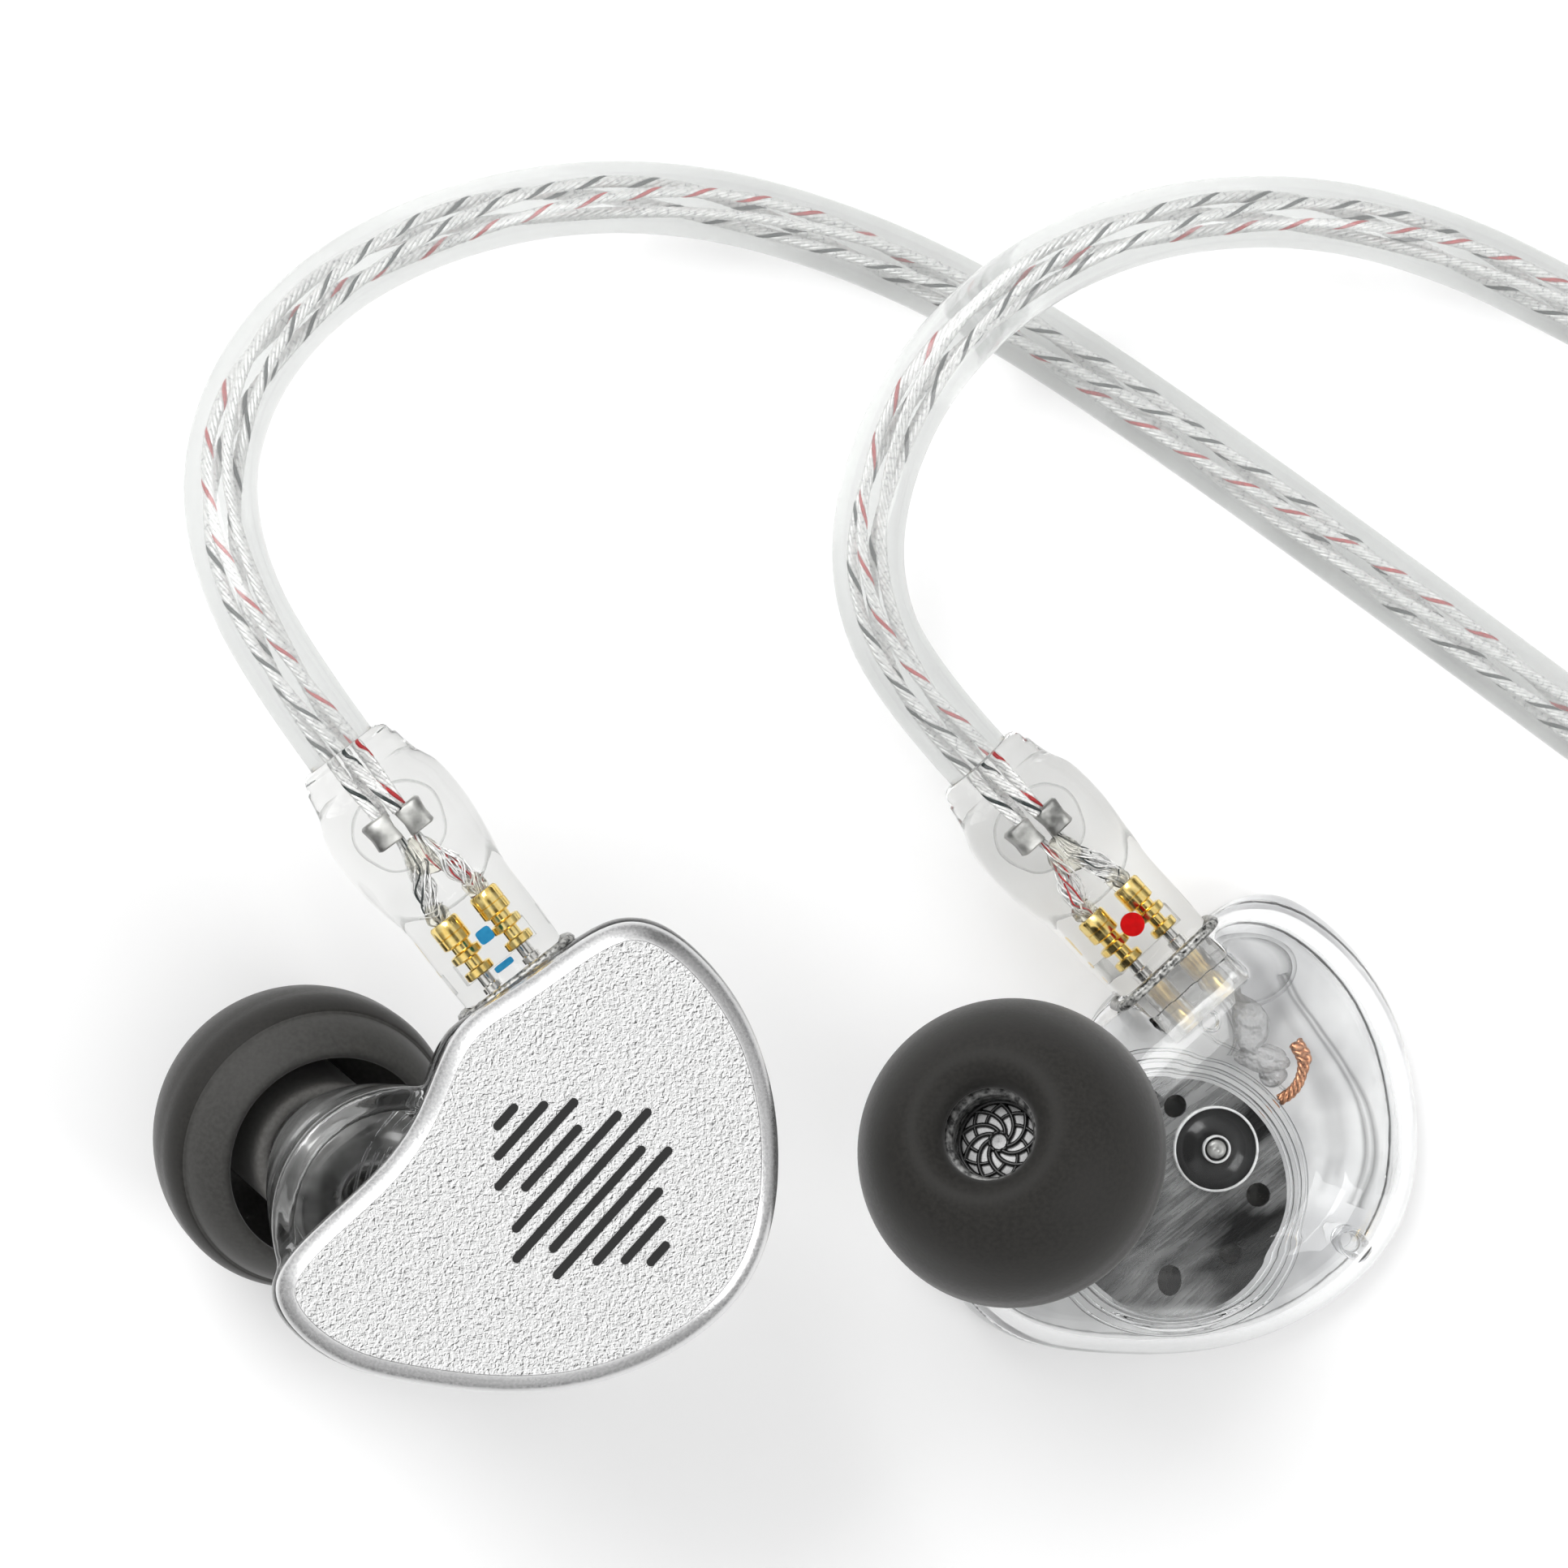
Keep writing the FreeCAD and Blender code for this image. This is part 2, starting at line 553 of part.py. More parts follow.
def jack_pieces():
    """Relief, housing and the three contacts with their insulators, drawn along +Z."""
    relief_end = JACK_RELIEF_LENGTH
    housing_end = relief_end + JACK_HOUSING_LENGTH
    end = housing_end + JACK_PIN_LENGTH
    r = JACK_PIN_R
    relief = revolve(steps([
        (0.01, 0), (1.35, 0), (1.9, relief_end), (0.01, relief_end)]))
    bushing = revolve(steps([
        (0.01, relief_end + 0.01), (2.2, relief_end + 0.01), (JACK_HOUSING_R, relief_end + 1.2),
        (JACK_HOUSING_R, housing_end - 1.0), (2.7, housing_end), (0.01, housing_end)]))
    sleeve = revolve(steps([
        (0.01, housing_end + 0.01), (r, housing_end + 0.01), (r, housing_end + 6.5),
        (0.01, housing_end + 6.5)]))
    gaps = [ring(r, 0, housing_end + 6.51, housing_end + 7.19),
            ring(r, 0, housing_end + 9.71, housing_end + 10.39)]
    middle = ring(r, 0, housing_end + 7.2, housing_end + 9.7)
    tip = revolve(steps([
        (0.01, housing_end + 10.4), (r, housing_end + 10.4), (r, housing_end + 11.0),
        (1.25, housing_end + 12.0), (1.7, housing_end + 13.0), (0.7, end), (0.01, end)]))
    return dict(jack_relief=[relief], jack_housing=[bushing], jack_sleeve=[sleeve],
                jack_insulators=gaps, jack_ring=[middle], jack_tip=[tip])


# ---- build --------------------------------------------------------------------------------
tip_local = ear_tip()
LEFT_HEIGHT = tip_local.BoundBox.ZMax
print("height of the left faceplate", round(LEFT_HEIGHT, 3))

earpiece_nodes = dict(
    faceplate=[faceplate()],
    shell=[shell()],
    nozzle_filter=[nozzle_filter()],
    ear_tip=[tip_local],
    driver_frame=[driver_frame()],
    driver_seat=[ring(SEAT_OUTER_R, SEAT_INNER_R, SEAT_FLOOR, DRIVER_TOP, DRIVER_CENTRE)],
    magnet_cup=[magnet_cup()],
    diaphragm=[diaphragm()],
    voice_coil=[ring(2.65, 2.4, 2.95, 4.0, DRIVER_CENTRE)],
    vent_port=[vent_port()],
    socket_body=[socket_body()],
    socket_contacts=socket_contacts(),
    driver_wires=driver_wires(),
    plug_housing=[plug_housing()],
    plug_carrier=[plug_carrier()],
    plug_contacts=plug_contacts(),
    plug_wires=plug_wires(),
    plug_crimp=[plug_crimp()],
)
for side in ("left", "right"):
    for name, solids in earpiece_nodes.items():
        save(f"{side}_{name}", *[place(solid, side, LEFT_HEIGHT) for solid in solids])
    markers = [place(solid, side, LEFT_HEIGHT) for solid in channel_marker(side)]
    save(f"{side}_channel_marker", *markers)

for side, hook in (("left", LEFT_HOOK), ("right", RIGHT_HOOK)):
    hook_route = [plug_point(side, HOOK_START, LEFT_HEIGHT)] + hook
    core_route = [plug_point(side, CORE_START, LEFT_HEIGHT)] + hook
    print(f"  {side} hook starts at", [round(c, 2) for c in hook_route[0]])
    outer = tube(hook_route, HOOK_R, f"{side} hook")
    save(f"{side}_ear_hook", outer.cut(tube(core_route, HOOK_BORE_R)))
    save(f"{side}_hook_core", tube(core_route, CORE_R, f"{side} core"))

leads = (("left", LEFT_LEAD_IN, LEFT_LEAD_OUT, LEFT_COIL),
         ("right", RIGHT_LEAD_IN, RIGHT_LEAD_OUT, RIGHT_COIL))
for side, route_in, route_out, coil in leads:
    save(f"{side}_lead", tube(route_in, CORD_R, f"{side} lead in"),
         tube(route_out, CORD_R, f"{side} lead out"))
    save(f"{side}_lead_coil", coil_solid(coil))
    print(f"  {side} coil: {coil_turns(LEAD_LENGTH, coil, route_in, route_out):.2f} turns")
save("main_cord", tube(MAIN_IN, CORD_R, "main in"), tube(MAIN_OUT, CORD_R, "main out"))
save("main_cord_coil", coil_solid(MAIN_COIL))
print(f"  main coil: {coil_turns(MAIN_LENGTH, MAIN_COIL, MAIN_IN, MAIN_OUT):.2f} turns")
save("coil_ties", coil_tie(LEFT_COIL, 200), coil_tie(RIGHT_COIL, 60), coil_tie(MAIN_COIL, 130))
save("chin_slider", chin_slider())
save("y_splitter", y_splitter())
for name, solids in jack_pieces().items():
    save(name, *[aim(solid, JACK_START, V(-1, 0, 0)) for solid in solids])
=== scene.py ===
"""The looks of a pair of in ear monitors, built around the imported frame.

Lengths are written in millimetres and turned into metres when a mesh is made. Each earpiece is
drawn once in a local frame whose z runs from the faceplate's outer face towards the nozzle, and
then placed twice: the right one as drawn, the left one as its mirror twin.
"""
import math

import bmesh
import bpy
import numpy as np
from mathutils import Matrix, Vector


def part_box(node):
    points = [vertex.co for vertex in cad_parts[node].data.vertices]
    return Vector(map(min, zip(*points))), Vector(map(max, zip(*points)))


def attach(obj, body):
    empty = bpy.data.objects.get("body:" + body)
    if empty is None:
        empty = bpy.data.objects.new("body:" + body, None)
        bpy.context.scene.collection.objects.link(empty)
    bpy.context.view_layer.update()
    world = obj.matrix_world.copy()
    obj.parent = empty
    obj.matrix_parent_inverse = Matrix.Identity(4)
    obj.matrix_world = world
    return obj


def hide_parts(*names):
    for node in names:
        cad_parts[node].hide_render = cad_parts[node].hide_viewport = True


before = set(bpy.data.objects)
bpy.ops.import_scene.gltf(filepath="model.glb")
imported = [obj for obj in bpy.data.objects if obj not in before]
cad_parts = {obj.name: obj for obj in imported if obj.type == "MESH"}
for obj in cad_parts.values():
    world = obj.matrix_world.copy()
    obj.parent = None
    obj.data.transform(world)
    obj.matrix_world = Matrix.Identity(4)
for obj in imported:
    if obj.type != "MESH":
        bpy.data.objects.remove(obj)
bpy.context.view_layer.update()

MM = 0.001

# ---- dimensions shared with the part ------------------------------------------------------
LEFT_CENTRE = (-17.1, -16.0)
RIGHT_CENTRE = (12.2, -15.65)
RIGHT_TURN = 5.3
FACEPLATE_THICK = 1.7
RIM_CHAMFER = 0.45
CHAMFER_WIDTH = 0.70
OUTLINE = [
    (-2.70, 5.50), (-0.50, 7.10), (1.75, 8.65), (4.30, 9.75), (7.55, 7.85), (9.70, 4.10),
    (10.30, 0.10), (9.10, -5.00), (5.70, -8.00), (0.60, -9.45), (-4.70, -9.05),
    (-8.60, -7.65), (-10.25, -5.30), (-8.65, -2.75), (-5.95, -0.20), (-4.35, 2.20),
]
MOTIF_CENTRE = (2.2, -1.0)
MOTIF_TURN = -42.0
TIP_CENTRE = Vector((-8.45, 0.25, 12.9))
NOZZLE_LEAN = 24.0
NOZZLE_HEADING = 140.0
NOZZLE_END = 4.2
NOZZLE_BORE_R = 1.70
TIP_R = 6.5
TIP_TOP = 6.1
TIP_SKIRT = -2.7
TIP_OPENING_R = 4.8
TIP_WALL = 0.6
TIP_BORE_R = 1.95
TIP_STEM_INNER_R = 2.45
TIP_STEM_OUTER_R = 3.1
DRIVER_CENTRE = (-0.95, -2.45)
DRIVER_TOP = 5.4
PORT_CENTRE = (1.1, -0.75)
PORT_R = 1.85
PLUG_ROOT = (-0.20, 7.35)
PLUG_HEADING = 127.5
PLUG_Z = 4.5
PIN_PITCH = 2.0
PLUG_SECTIONS = [
    (0.25, 2.45, 2.05, 4.0), (2.2, 2.50, 2.10, 4.0), (4.2, 2.52, 2.20, 3.4), (5.6, 2.80, 2.55, 2.6),
    (7.4, 3.00, 2.85, 2.2), (9.1, 2.90, 2.80, 2.1), (10.3, 2.45, 2.45, 2.0), (11.9, 2.15, 2.15, 2.0),
]
HOOK_R = 1.55
HOOK_START = 10.6
TUBE_START = 11.75
CORE_START = 8.5
LEFT_HOOK = [
    (-27.45, 4.75, 14.9), (-29.3, 8.9, 13.7), (-29.6, 13.0, 12.0), (-28.0, 17.2, 9.9),
    (-24.5, 20.9, 7.8), (-19.6, 23.4, 5.7), (-14.0, 24.7, 3.8), (-8.3, 24.6, 2.3),
    (-2.8, 23.2, 1.55), (2.4, 21.0, 1.55), (7.9, 17.8, 1.55), (18.2, 10.7, 1.55), (31.2, 1.2, 1.55),
]
RIGHT_HOOK = [
    (-0.16, 4.05, 4.5), (-1.75, 8.2, 4.7), (-1.3, 12.6, 5.2), (0.7, 17.0, 5.8), (4.4, 20.8, 6.1),
    (9.2, 23.2, 6.0), (14.4, 24.2, 5.0), (19.7, 24.0, 3.7), (24.8, 22.6, 2.3), (28.8, 20.8, 1.6),
    (31.9, 19.2, 1.55),
]
SHELL_GRID = 0.14
CORD_R = 1.0
CORD_STEP = 0.6
COIL_FLOOR = 0.45
LEFT_COIL = dict(centre=(47.0, -16.0), inner=8.8, outer=12.4, layers=2)
RIGHT_COIL = dict(centre=(51.5, 21.5), inner=8.8, outer=12.4, layers=2)
MAIN_COIL = dict(centre=(87.0, -14.5), inner=8.3, outer=13.7, layers=4)
LEFT_LEAD_IN = [(31.2, 1.2, 1.55), (36.5, -1.4, 1.5), (43.5, -3.2, 1.45), (50.2, -4.0, 1.45)]
RIGHT_LEAD_IN = [(31.9, 19.2, 1.55), (37.0, 16.3, 1.5), (41.3, 13.4, 1.45), (44.8, 11.05, 1.45)]
LEFT_LEAD_OUT = [
    (45.9, -3.65, 3.45), (51.3, -3.1, 3.4), (56.5, -1.4, 2.9), (61.2, 1.3, 2.3), (66.0, 3.4, 2.2),
    (73.7, 3.42, 2.2), (81.0, 3.4, 2.2),
]
RIGHT_LEAD_OUT = [
    (50.4, 9.15, 3.45), (55.7, 8.9, 3.2), (60.9, 7.5, 2.5), (66.0, 6.0, 2.2),
    (73.7, 5.98, 2.2), (81.0, 6.0, 2.2),
]
MAIN_IN = [
    (91.0, 4.7, 2.2), (95.4, 4.5, 1.9), (99.0, 2.0, 1.5), (101.3, -2.2, 1.45), (101.7, -7.2, 1.45),
    (100.5, -12.1, 1.45),
]
MAIN_OUT = [(87.0, -28.2, 7.45), (82.0, -29.3, 6.6), (77.0, -31.2, 4.5), (72.0, -32.6, 3.1)]

# the left faceplate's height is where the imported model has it
LEFT_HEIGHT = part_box("left_faceplate")[1].z / MM

# ---- view ---------------------------------------------------------------------------------
VIEW_TARGET = Vector((-5.5, -0.6, 8.0)) * MM
VIEW_DISTANCE = 322.0 * MM
VIEW_TILT = math.radians(5.5)
VIEW_LENS = 174.0
FLOOR_REACH = 1600.0
FLOOR_Z = -0.02


# ---- mesh helpers -------------------------------------------------------------------------
def unit(angle):
    return Vector((math.cos(math.radians(angle)), math.sin(math.radians(angle)), 0.0))


def add_object(name, data):
    piece = bpy.data.objects.new(name, data)
    bpy.context.scene.collection.objects.link(piece)
    return piece


def add_mesh(name, verts, faces, place, *keys, kinds=None, smooth=True):
    """An object from millimetre vertices, moved to its place; kinds has each face's material."""
    mesh = bpy.data.meshes.new(name)
    mesh.from_pydata([tuple(v) for v in verts], [], faces)
    if kinds is not None:
        mesh.polygons.foreach_set("material_index", kinds)
    mesh.transform(place)
    if place.determinant() < 0:
        mesh.flip_normals()
    mesh.transform(Matrix.Scale(MM, 4))
    mesh.polygons.foreach_set("use_smooth", [smooth] * len(mesh.polygons))
    for key in keys:
        mesh.materials.append(MATERIALS[key])
    mesh.update()
    return add_object(name, mesh)


def ring_grid(rows, count, closed=False):
    """Faces of a grid of rings, each ring having count vertices."""
    faces = []
    steps = rows if closed else rows - 1
    for i in range(steps):
        for k in range(count):
            a = i * count + k
            b = i * count + (k + 1) % count
            c = ((i + 1) % rows) * count + (k + 1) % count
            d = ((i + 1) % rows) * count + k
            faces.append((a, b, c, d))
    return faces


def capped_grid(rows, count):
    """Faces of a grid of rings with both of its ends closed."""
    last = (rows - 1) * count
    return ring_grid(rows, count) + [tuple(range(count))[::-1], tuple(last + k for k in range(count))]


def arc(p, q, r, count=10):
    """Points of the circle through three points, from the first to the last, without the last."""
    (ax, ay), (bx, by), (cx, cy) = p, q, r
    d = 2 * (ax * (by - cy) + bx * (cy - ay) + cx * (ay - by))
    ux = ((ax**2 + ay**2) * (by - cy) + (bx**2 + by**2) * (cy - ay) + (cx**2 + cy**2) * (ay - by)) / d
    uy = ((ax**2 + ay**2) * (cx - bx) + (bx**2 + by**2) * (ax - cx) + (cx**2 + cy**2) * (bx - ax)) / d
    radius = math.hypot(ax - ux, ay - uy)
    a0 = math.atan2(ay - uy, ax - ux)
    a1 = math.atan2(by - uy, bx - ux)
    a2 = math.atan2(cy - uy, cx - ux)
    turn = (a2 - a0) % (2 * math.pi)
    if (a1 - a0) % (2 * math.pi) > turn:
        turn -= 2 * math.pi
    return [(ux + radius * math.cos(a0 + turn * t / count), uy + radius * math.sin(a0 + turn * t / count))
            for t in range(count)]


def revolve(profile, segments=96):
    """Vertices and faces of a closed (radius, height) profile turned about Z."""
    verts = []
    for r, z in profile:
        for k in range(segments):
            angle = 2 * math.pi * k / segments
            verts.append((r * math.cos(angle), r * math.sin(angle), z))
    return verts, [face[::-1] for face in ring_grid(len(profile), segments, closed=True)]


def hoop(radius, height, thick, segments=96, sides=8):
    """Vertices and faces of a round wire bent into a circle about Z."""
    turns = [2 * math.pi * k / sides for k in range(sides)]
    return revolve([(radius + thick * math.cos(a), height + thick * math.sin(a)) for a in turns], segments)


def outward(piece):
    """Recalculate normals so that they point out of the piece."""
    bm = bmesh.new()
    bm.from_mesh(piece.data)
    bmesh.ops.recalc_face_normals(bm, faces=bm.faces)
    bm.to_mesh(piece.data)
    bm.free()
    return piece


def add_revolved(name, profile, place, key, segments=96):
    return outward(add_mesh(name, *revolve(profile, segments), place, key))


def path_frames(points):
    """Tangent and two carried-along normals at each point of a path."""
    points = np.asarray(points, float)
    tangents = np.gradient(points, axis=0)
    tangents /= np.linalg.norm(tangents, axis=1)[:, None]
    normal = np.cross(tangents[0], (0, 0, 1.0))
    if np.linalg.norm(normal) < 0.1:
        normal = np.cross(tangents[0], (0, 1.0, 0))
    normals = [normal / np.linalg.norm(normal)]
    for tangent in tangents[1:]:
        carried = normals[-1] - tangent * np.dot(normals[-1], tangent)
        normals.append(carried / np.linalg.norm(carried))
    normals = np.array(normals)
    return points, tangents, normals, np.cross(tangents, normals)


def sweep(points, radius, sides):
    """Vertices and faces of a closed round tube along a path."""
    points, _, normals, binormals = path_frames(points)
    angles = np.arange(sides) * 2 * np.pi / sides
    circle = (np.cos(angles)[None, :, None] * normals[:, None, :]
              + np.sin(angles)[None, :, None] * binormals[:, None, :])
    verts = (points[:, None, :] + radius * circle).reshape(-1, 3).tolist()
    return verts, capped_grid(len(points), sides)


def arc_length(points):
    steps = np.linalg.norm(np.diff(np.asarray(points, float), axis=0), axis=1)
    return np.concatenate([[0.0], np.cumsum(steps)])


def evenly(points, step):
    """The same path with points a fixed step apart."""
    points = np.asarray(points, float)
    length = arc_length(points)
    count = max(2, int(round(length[-1] / step)) + 1)
    at = np.linspace(0, length[-1], count)
    return np.stack([np.interp(at, length, points[:, k]) for k in range(3)], axis=1)


def spline_path(route):
    """Points, in millimetres, of the smooth curve that has the route as its control points."""
    curve = bpy.data.curves.new("guide", "CURVE")
    curve.dimensions = "3D"
    curve.resolution_u = 12
    spline = curve.splines.new("NURBS")
    spline.points.add(len(route) - 1)
    for point, (x, y, z) in zip(spline.points, route):
        point.co = (x * MM, y * MM, z * MM, 1.0)
    spline.order_u = 3
    spline.use_endpoint_u = True
    guide = add_object("guide", curve)
    bpy.context.view_layer.update()
    mesh = bpy.data.meshes.new_from_object(guide)
    points = [tuple(v.co / MM) for v in mesh.vertices]
    bpy.data.meshes.remove(mesh)
    bpy.data.objects.remove(guide)
    return points


def moved(part, shift, scale=(1, 1, 1)):
    """The same vertices and faces, scaled and then shifted."""
    verts, faces = part
    return [tuple(c * k + d for c, k, d in zip(v, scale, shift)) for v in verts], faces


def spline_through(points, per_span=12):
    """Open smooth curve through the points."""
    p = np.asarray(points, float)
    p = np.vstack([2 * p[0] - p[1], p, 2 * p[-1] - p[-2]])
    out = []
    for i in range(1, len(p) - 2):
        for k in range(per_span):
            t = k / per_span
            out.append(0.5 * ((2 * p[i]) + (p[i + 1] - p[i - 1]) * t
                              + (2 * p[i - 1] - 5 * p[i] + 4 * p[i + 1] - p[i + 2]) * t**2
                              + (3 * p[i] - p[i - 1] - 3 * p[i + 1] + p[i + 2]) * t**3))
    out.append(p[-2])
    return np.array(out)


def ribbon(points, low, high, half):
    """Thin upright wall along a plan curve."""
    line = spline_through(points, 10)
    step = np.gradient(line, axis=0)
    across = np.stack([-step[:, 1], step[:, 0]], axis=1) / np.linalg.norm(step, axis=1)[:, None] * half
    verts = []
    for centre, side in zip(line, across):
        verts += [(*(centre - side), low), (*(centre + side), low), (*(centre + side), high),
                  (*(centre - side), high)]
    return verts, capped_grid(len(line), 4)


def bumpy_blob(centre, size, seed, count=28):
    """An uneven rounded lump."""
    rng = np.random.default_rng(seed)
    waves = rng.normal(size=(6, 3)) * 2.2
    phases = rng.uniform(0, 6.28, 6)
    verts = []
    for i in range(count + 1):
        polar = math.pi * (0.02 + 0.96 * i / count)
        for k in range(count):
            turn = 2 * math.pi * k / count
            d = np.array([math.sin(polar) * math.cos(turn), math.sin(polar) * math.sin(turn),
                          math.cos(polar)])
            swell = 1 + 0.07 * np.sin(waves @ d + phases).sum()
            verts.append(tuple(np.array(centre) + d * swell * np.array(size)))
    return verts, [face[::-1] for face in capped_grid(count + 1, count)]


def superellipse(distance, half_width, half_height, power, count=48):
    """A rounded rectangle, or an ellipse where power is 2, in a plane at a distance along Z."""
    points = []
    for k in range(count):
        c = math.cos(2 * math.pi * k / count)
        s = math.sin(2 * math.pi * k / count)
        size = (abs(c) ** power + abs(s) ** power) ** (-1 / power)
        points.append((half_width * size * c, half_height * size * s, distance))
    return points


def merged(name, parts, place, *keys, smooth=True):
    """One piece from parts of (verts, faces), with the number of its material if that isn't 0."""
    verts, faces, kinds = [], [], []
    for part_verts, part_faces, *kind in parts:
        start = len(verts)
        verts.extend(part_verts)
        faces.extend(tuple(start + i for i in face) for face in part_faces)
        kinds.extend((kind or [0]) * len(part_faces))
    return add_mesh(name, verts, faces, place, *keys, kinds=kinds, smooth=smooth)


def split_edges(piece, angle):
    """Crisp edges where faces meet at more than the angle, in degrees."""
    split = piece.modifiers.new("edges", "EDGE_SPLIT")
    split.split_angle = math.radians(angle)
    return piece


def loft(sections, count=48):
    """Vertices of superellipse sections, one row (distance, half sizes, power) each."""
    return [v for row in sections for v in superellipse(*row, count)]


def bind(piece, body, slot, *nodes):
    """Ride a piece on a body, in place of some of the part's nodes."""
    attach(piece, body)
    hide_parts(*nodes)


# ---- local frames -------------------------------------------------------------------------
def side_matrix(side):
    """Where an earpiece lies: the left one is the mirror twin, face up."""
    if side == "left":
        return Matrix.Translation((*LEFT_CENTRE, LEFT_HEIGHT)) @ Matrix.Diagonal((1, 1, -1, 1))
    return Matrix.Translation((*RIGHT_CENTRE, 0)) @ Matrix.Rotation(math.radians(RIGHT_TURN), 4, "Z")


nozzle_axis = (unit(NOZZLE_HEADING) * math.sin(math.radians(NOZZLE_LEAN))
               + Vector((0, 0, math.cos(math.radians(NOZZLE_LEAN)))))
plug_axis = unit(PLUG_HEADING)
plug_side = Vector((-plug_axis.y, plug_axis.x, 0))
plug_root = Vector((*PLUG_ROOT, PLUG_Z))
NOZZLE_MATRIX = (Matrix.Translation(TIP_CENTRE)
                 @ Vector((0, 0, 1)).rotation_difference(nozzle_axis).to_matrix().to_4x4())
PLUG_MATRIX = Matrix((
    (plug_side.x, 0, plug_axis.x, plug_root.x),
    (plug_side.y, 0, plug_axis.y, plug_root.y),
    (0, 1, 0, plug_root.z),
    (0, 0, 0, 1)))
SIDES = ("left", "right")
EARPIECE = {side: side_matrix(side) for side in SIDES}
NOZZLE = {side: EARPIECE[side] @ NOZZLE_MATRIX for side in SIDES}
PLUG = {side: EARPIECE[side] @ PLUG_MATRIX for side in SIDES}
WORLD = Matrix()


def plug_point(side, distance):
    return tuple(EARPIECE[side] @ (plug_root + plug_axis * distance))


# ---- materials ----------------------------------------------------------------------------
def new_material(name, **inputs):
    """A material with one shader; each of inputs is a socket's name, with _ for its spaces."""
    material = bpy.data.materials.new(name)
    material.use_nodes = True
    tree = material.node_tree
    shader = tree.nodes["Principled BSDF"]
    for key, value in inputs.items():
        shader.inputs[key.replace("_", " ")].default_value = value
    return material, tree, shader


def node(tree, kind, **settings):
    made = tree.nodes.new(kind)
    for key, value in settings.items():
        if key in made.inputs:
            made.inputs[key].default_value = value
        else:
            setattr(made, key.lower(), value)
    return made


def noise(tree, scale, detail=2.0, rough=0.5, stretch=(1, 1, 1), shift=(0, 0, 0), distortion=0.0,
          source=None):
    """Noise in object space, or over another vector; scale is in waves per metre."""
    if source is None:
        source = node(tree, "ShaderNodeTexCoord").outputs["Object"]
    mapping = node(tree, "ShaderNodeMapping", Scale=stretch, Location=shift)
    texture = node(tree, "ShaderNodeTexNoise", Scale=scale, Detail=detail, Roughness=rough,
                   Distortion=distortion)
    tree.links.new(source, mapping.inputs["Vector"])
    tree.links.new(mapping.outputs["Vector"], texture.inputs["Vector"])
    return texture.outputs["Fac"]


def stops(tree, value, rows):
    """Colour ramp through rows of (place, colour); a single number is a grey."""
    made = node(tree, "ShaderNodeValToRGB")
    elements = made.color_ramp.elements
    elements.remove(elements[1])
    for index, (at, colour) in enumerate(rows):
        element = elements[0] if index == 0 else elements.new(at)
        element.position = at
        element.color = (colour, colour, colour, 1) if isinstance(colour, float) else (*colour, 1)
    tree.links.new(value, made.inputs["Fac"])
    return made.outputs["Color"]


def ramp(tree, value, low, high, low_at=0.35, high_at=0.65):
    return stops(tree, value, ((low_at, low), (high_at, high)))


def bump(tree, shader, height, strength, distance):
    made = node(tree, "ShaderNodeBump", Strength=strength, Distance=distance)
    tree.links.new(height, made.inputs["Height"])
    tree.links.new(made.outputs["Normal"], shader.inputs["Normal"])


def solid(name, low, high, rough, metallic=0.0, grain=4000.0, bump_depth=0.0, bump_strength=0.3,
          rough_spread=0.08, stretch=(1, 1, 1), **inputs):
    """A shader whose colour and roughness vary a little over the surface."""
    material, tree, shader = new_material(name, Metallic=metallic, **inputs)
    field = noise(tree, grain, detail=3.0, stretch=stretch)
    tree.links.new(ramp(tree, field, low, high), shader.inputs["Base Color"])
    tree.links.new(ramp(tree, field, rough - rough_spread, rough + rough_spread),
                   shader.inputs["Roughness"])
    if bump_depth:
        bump(tree, shader, field, bump_strength, bump_depth)
    return material


def mix_shaders(tree, factor, first, second):
    mix = node(tree, "ShaderNodeMixShader")
    for socket, output in zip(mix.inputs, (factor, first.outputs["BSDF"], second.outputs["BSDF"])):
        tree.links.new(output, socket)
    tree.links.new(mix.outputs["Shader"], tree.nodes["Material Output"].inputs["Surface"])


def clear(name, tint, rough, ior, grain, bump_depth, bump_strength, milk=0.0, coat=0.0, lamp=0.94):
    """Clear plastic that lets the lamps through to what is behind it; milk makes it cloudier."""
    material, tree, shader = new_material(name, Base_Color=(*tint, 1), Transmission_Weight=1.0 - milk,
                                          IOR=ior, Coat_Weight=coat)
    field = noise(tree, grain)
    tree.links.new(ramp(tree, field, max(rough - 0.02, 0.0), rough + 0.03), shader.inputs["Roughness"])
    bump(tree, shader, field, bump_strength, bump_depth)
    path = node(tree, "ShaderNodeLightPath")
    through = node(tree, "ShaderNodeBsdfTransparent", Color=(lamp, lamp, lamp, 1))
    mix_shaders(tree, path.outputs["Is Shadow Ray"], shader, through)
    return material


def film_skin(name, tint):
    """A boundary inside clear plastic: seen only where it is grazed."""
    material, tree, shader = new_material(name, Base_Color=(*tint, 1))
    tree.links.new(ramp(tree, noise(tree, 700.0), 0.08, 0.16), shader.inputs["Roughness"])
    through = node(tree, "ShaderNodeBsdfTransparent")
    edge = node(tree, "ShaderNodeLayerWeight", Blend=0.5)
    mix_shaders(tree, ramp(tree, edge.outputs["Facing"], 0.006, 0.80, 0.60, 1.0), through, shader)
    return material


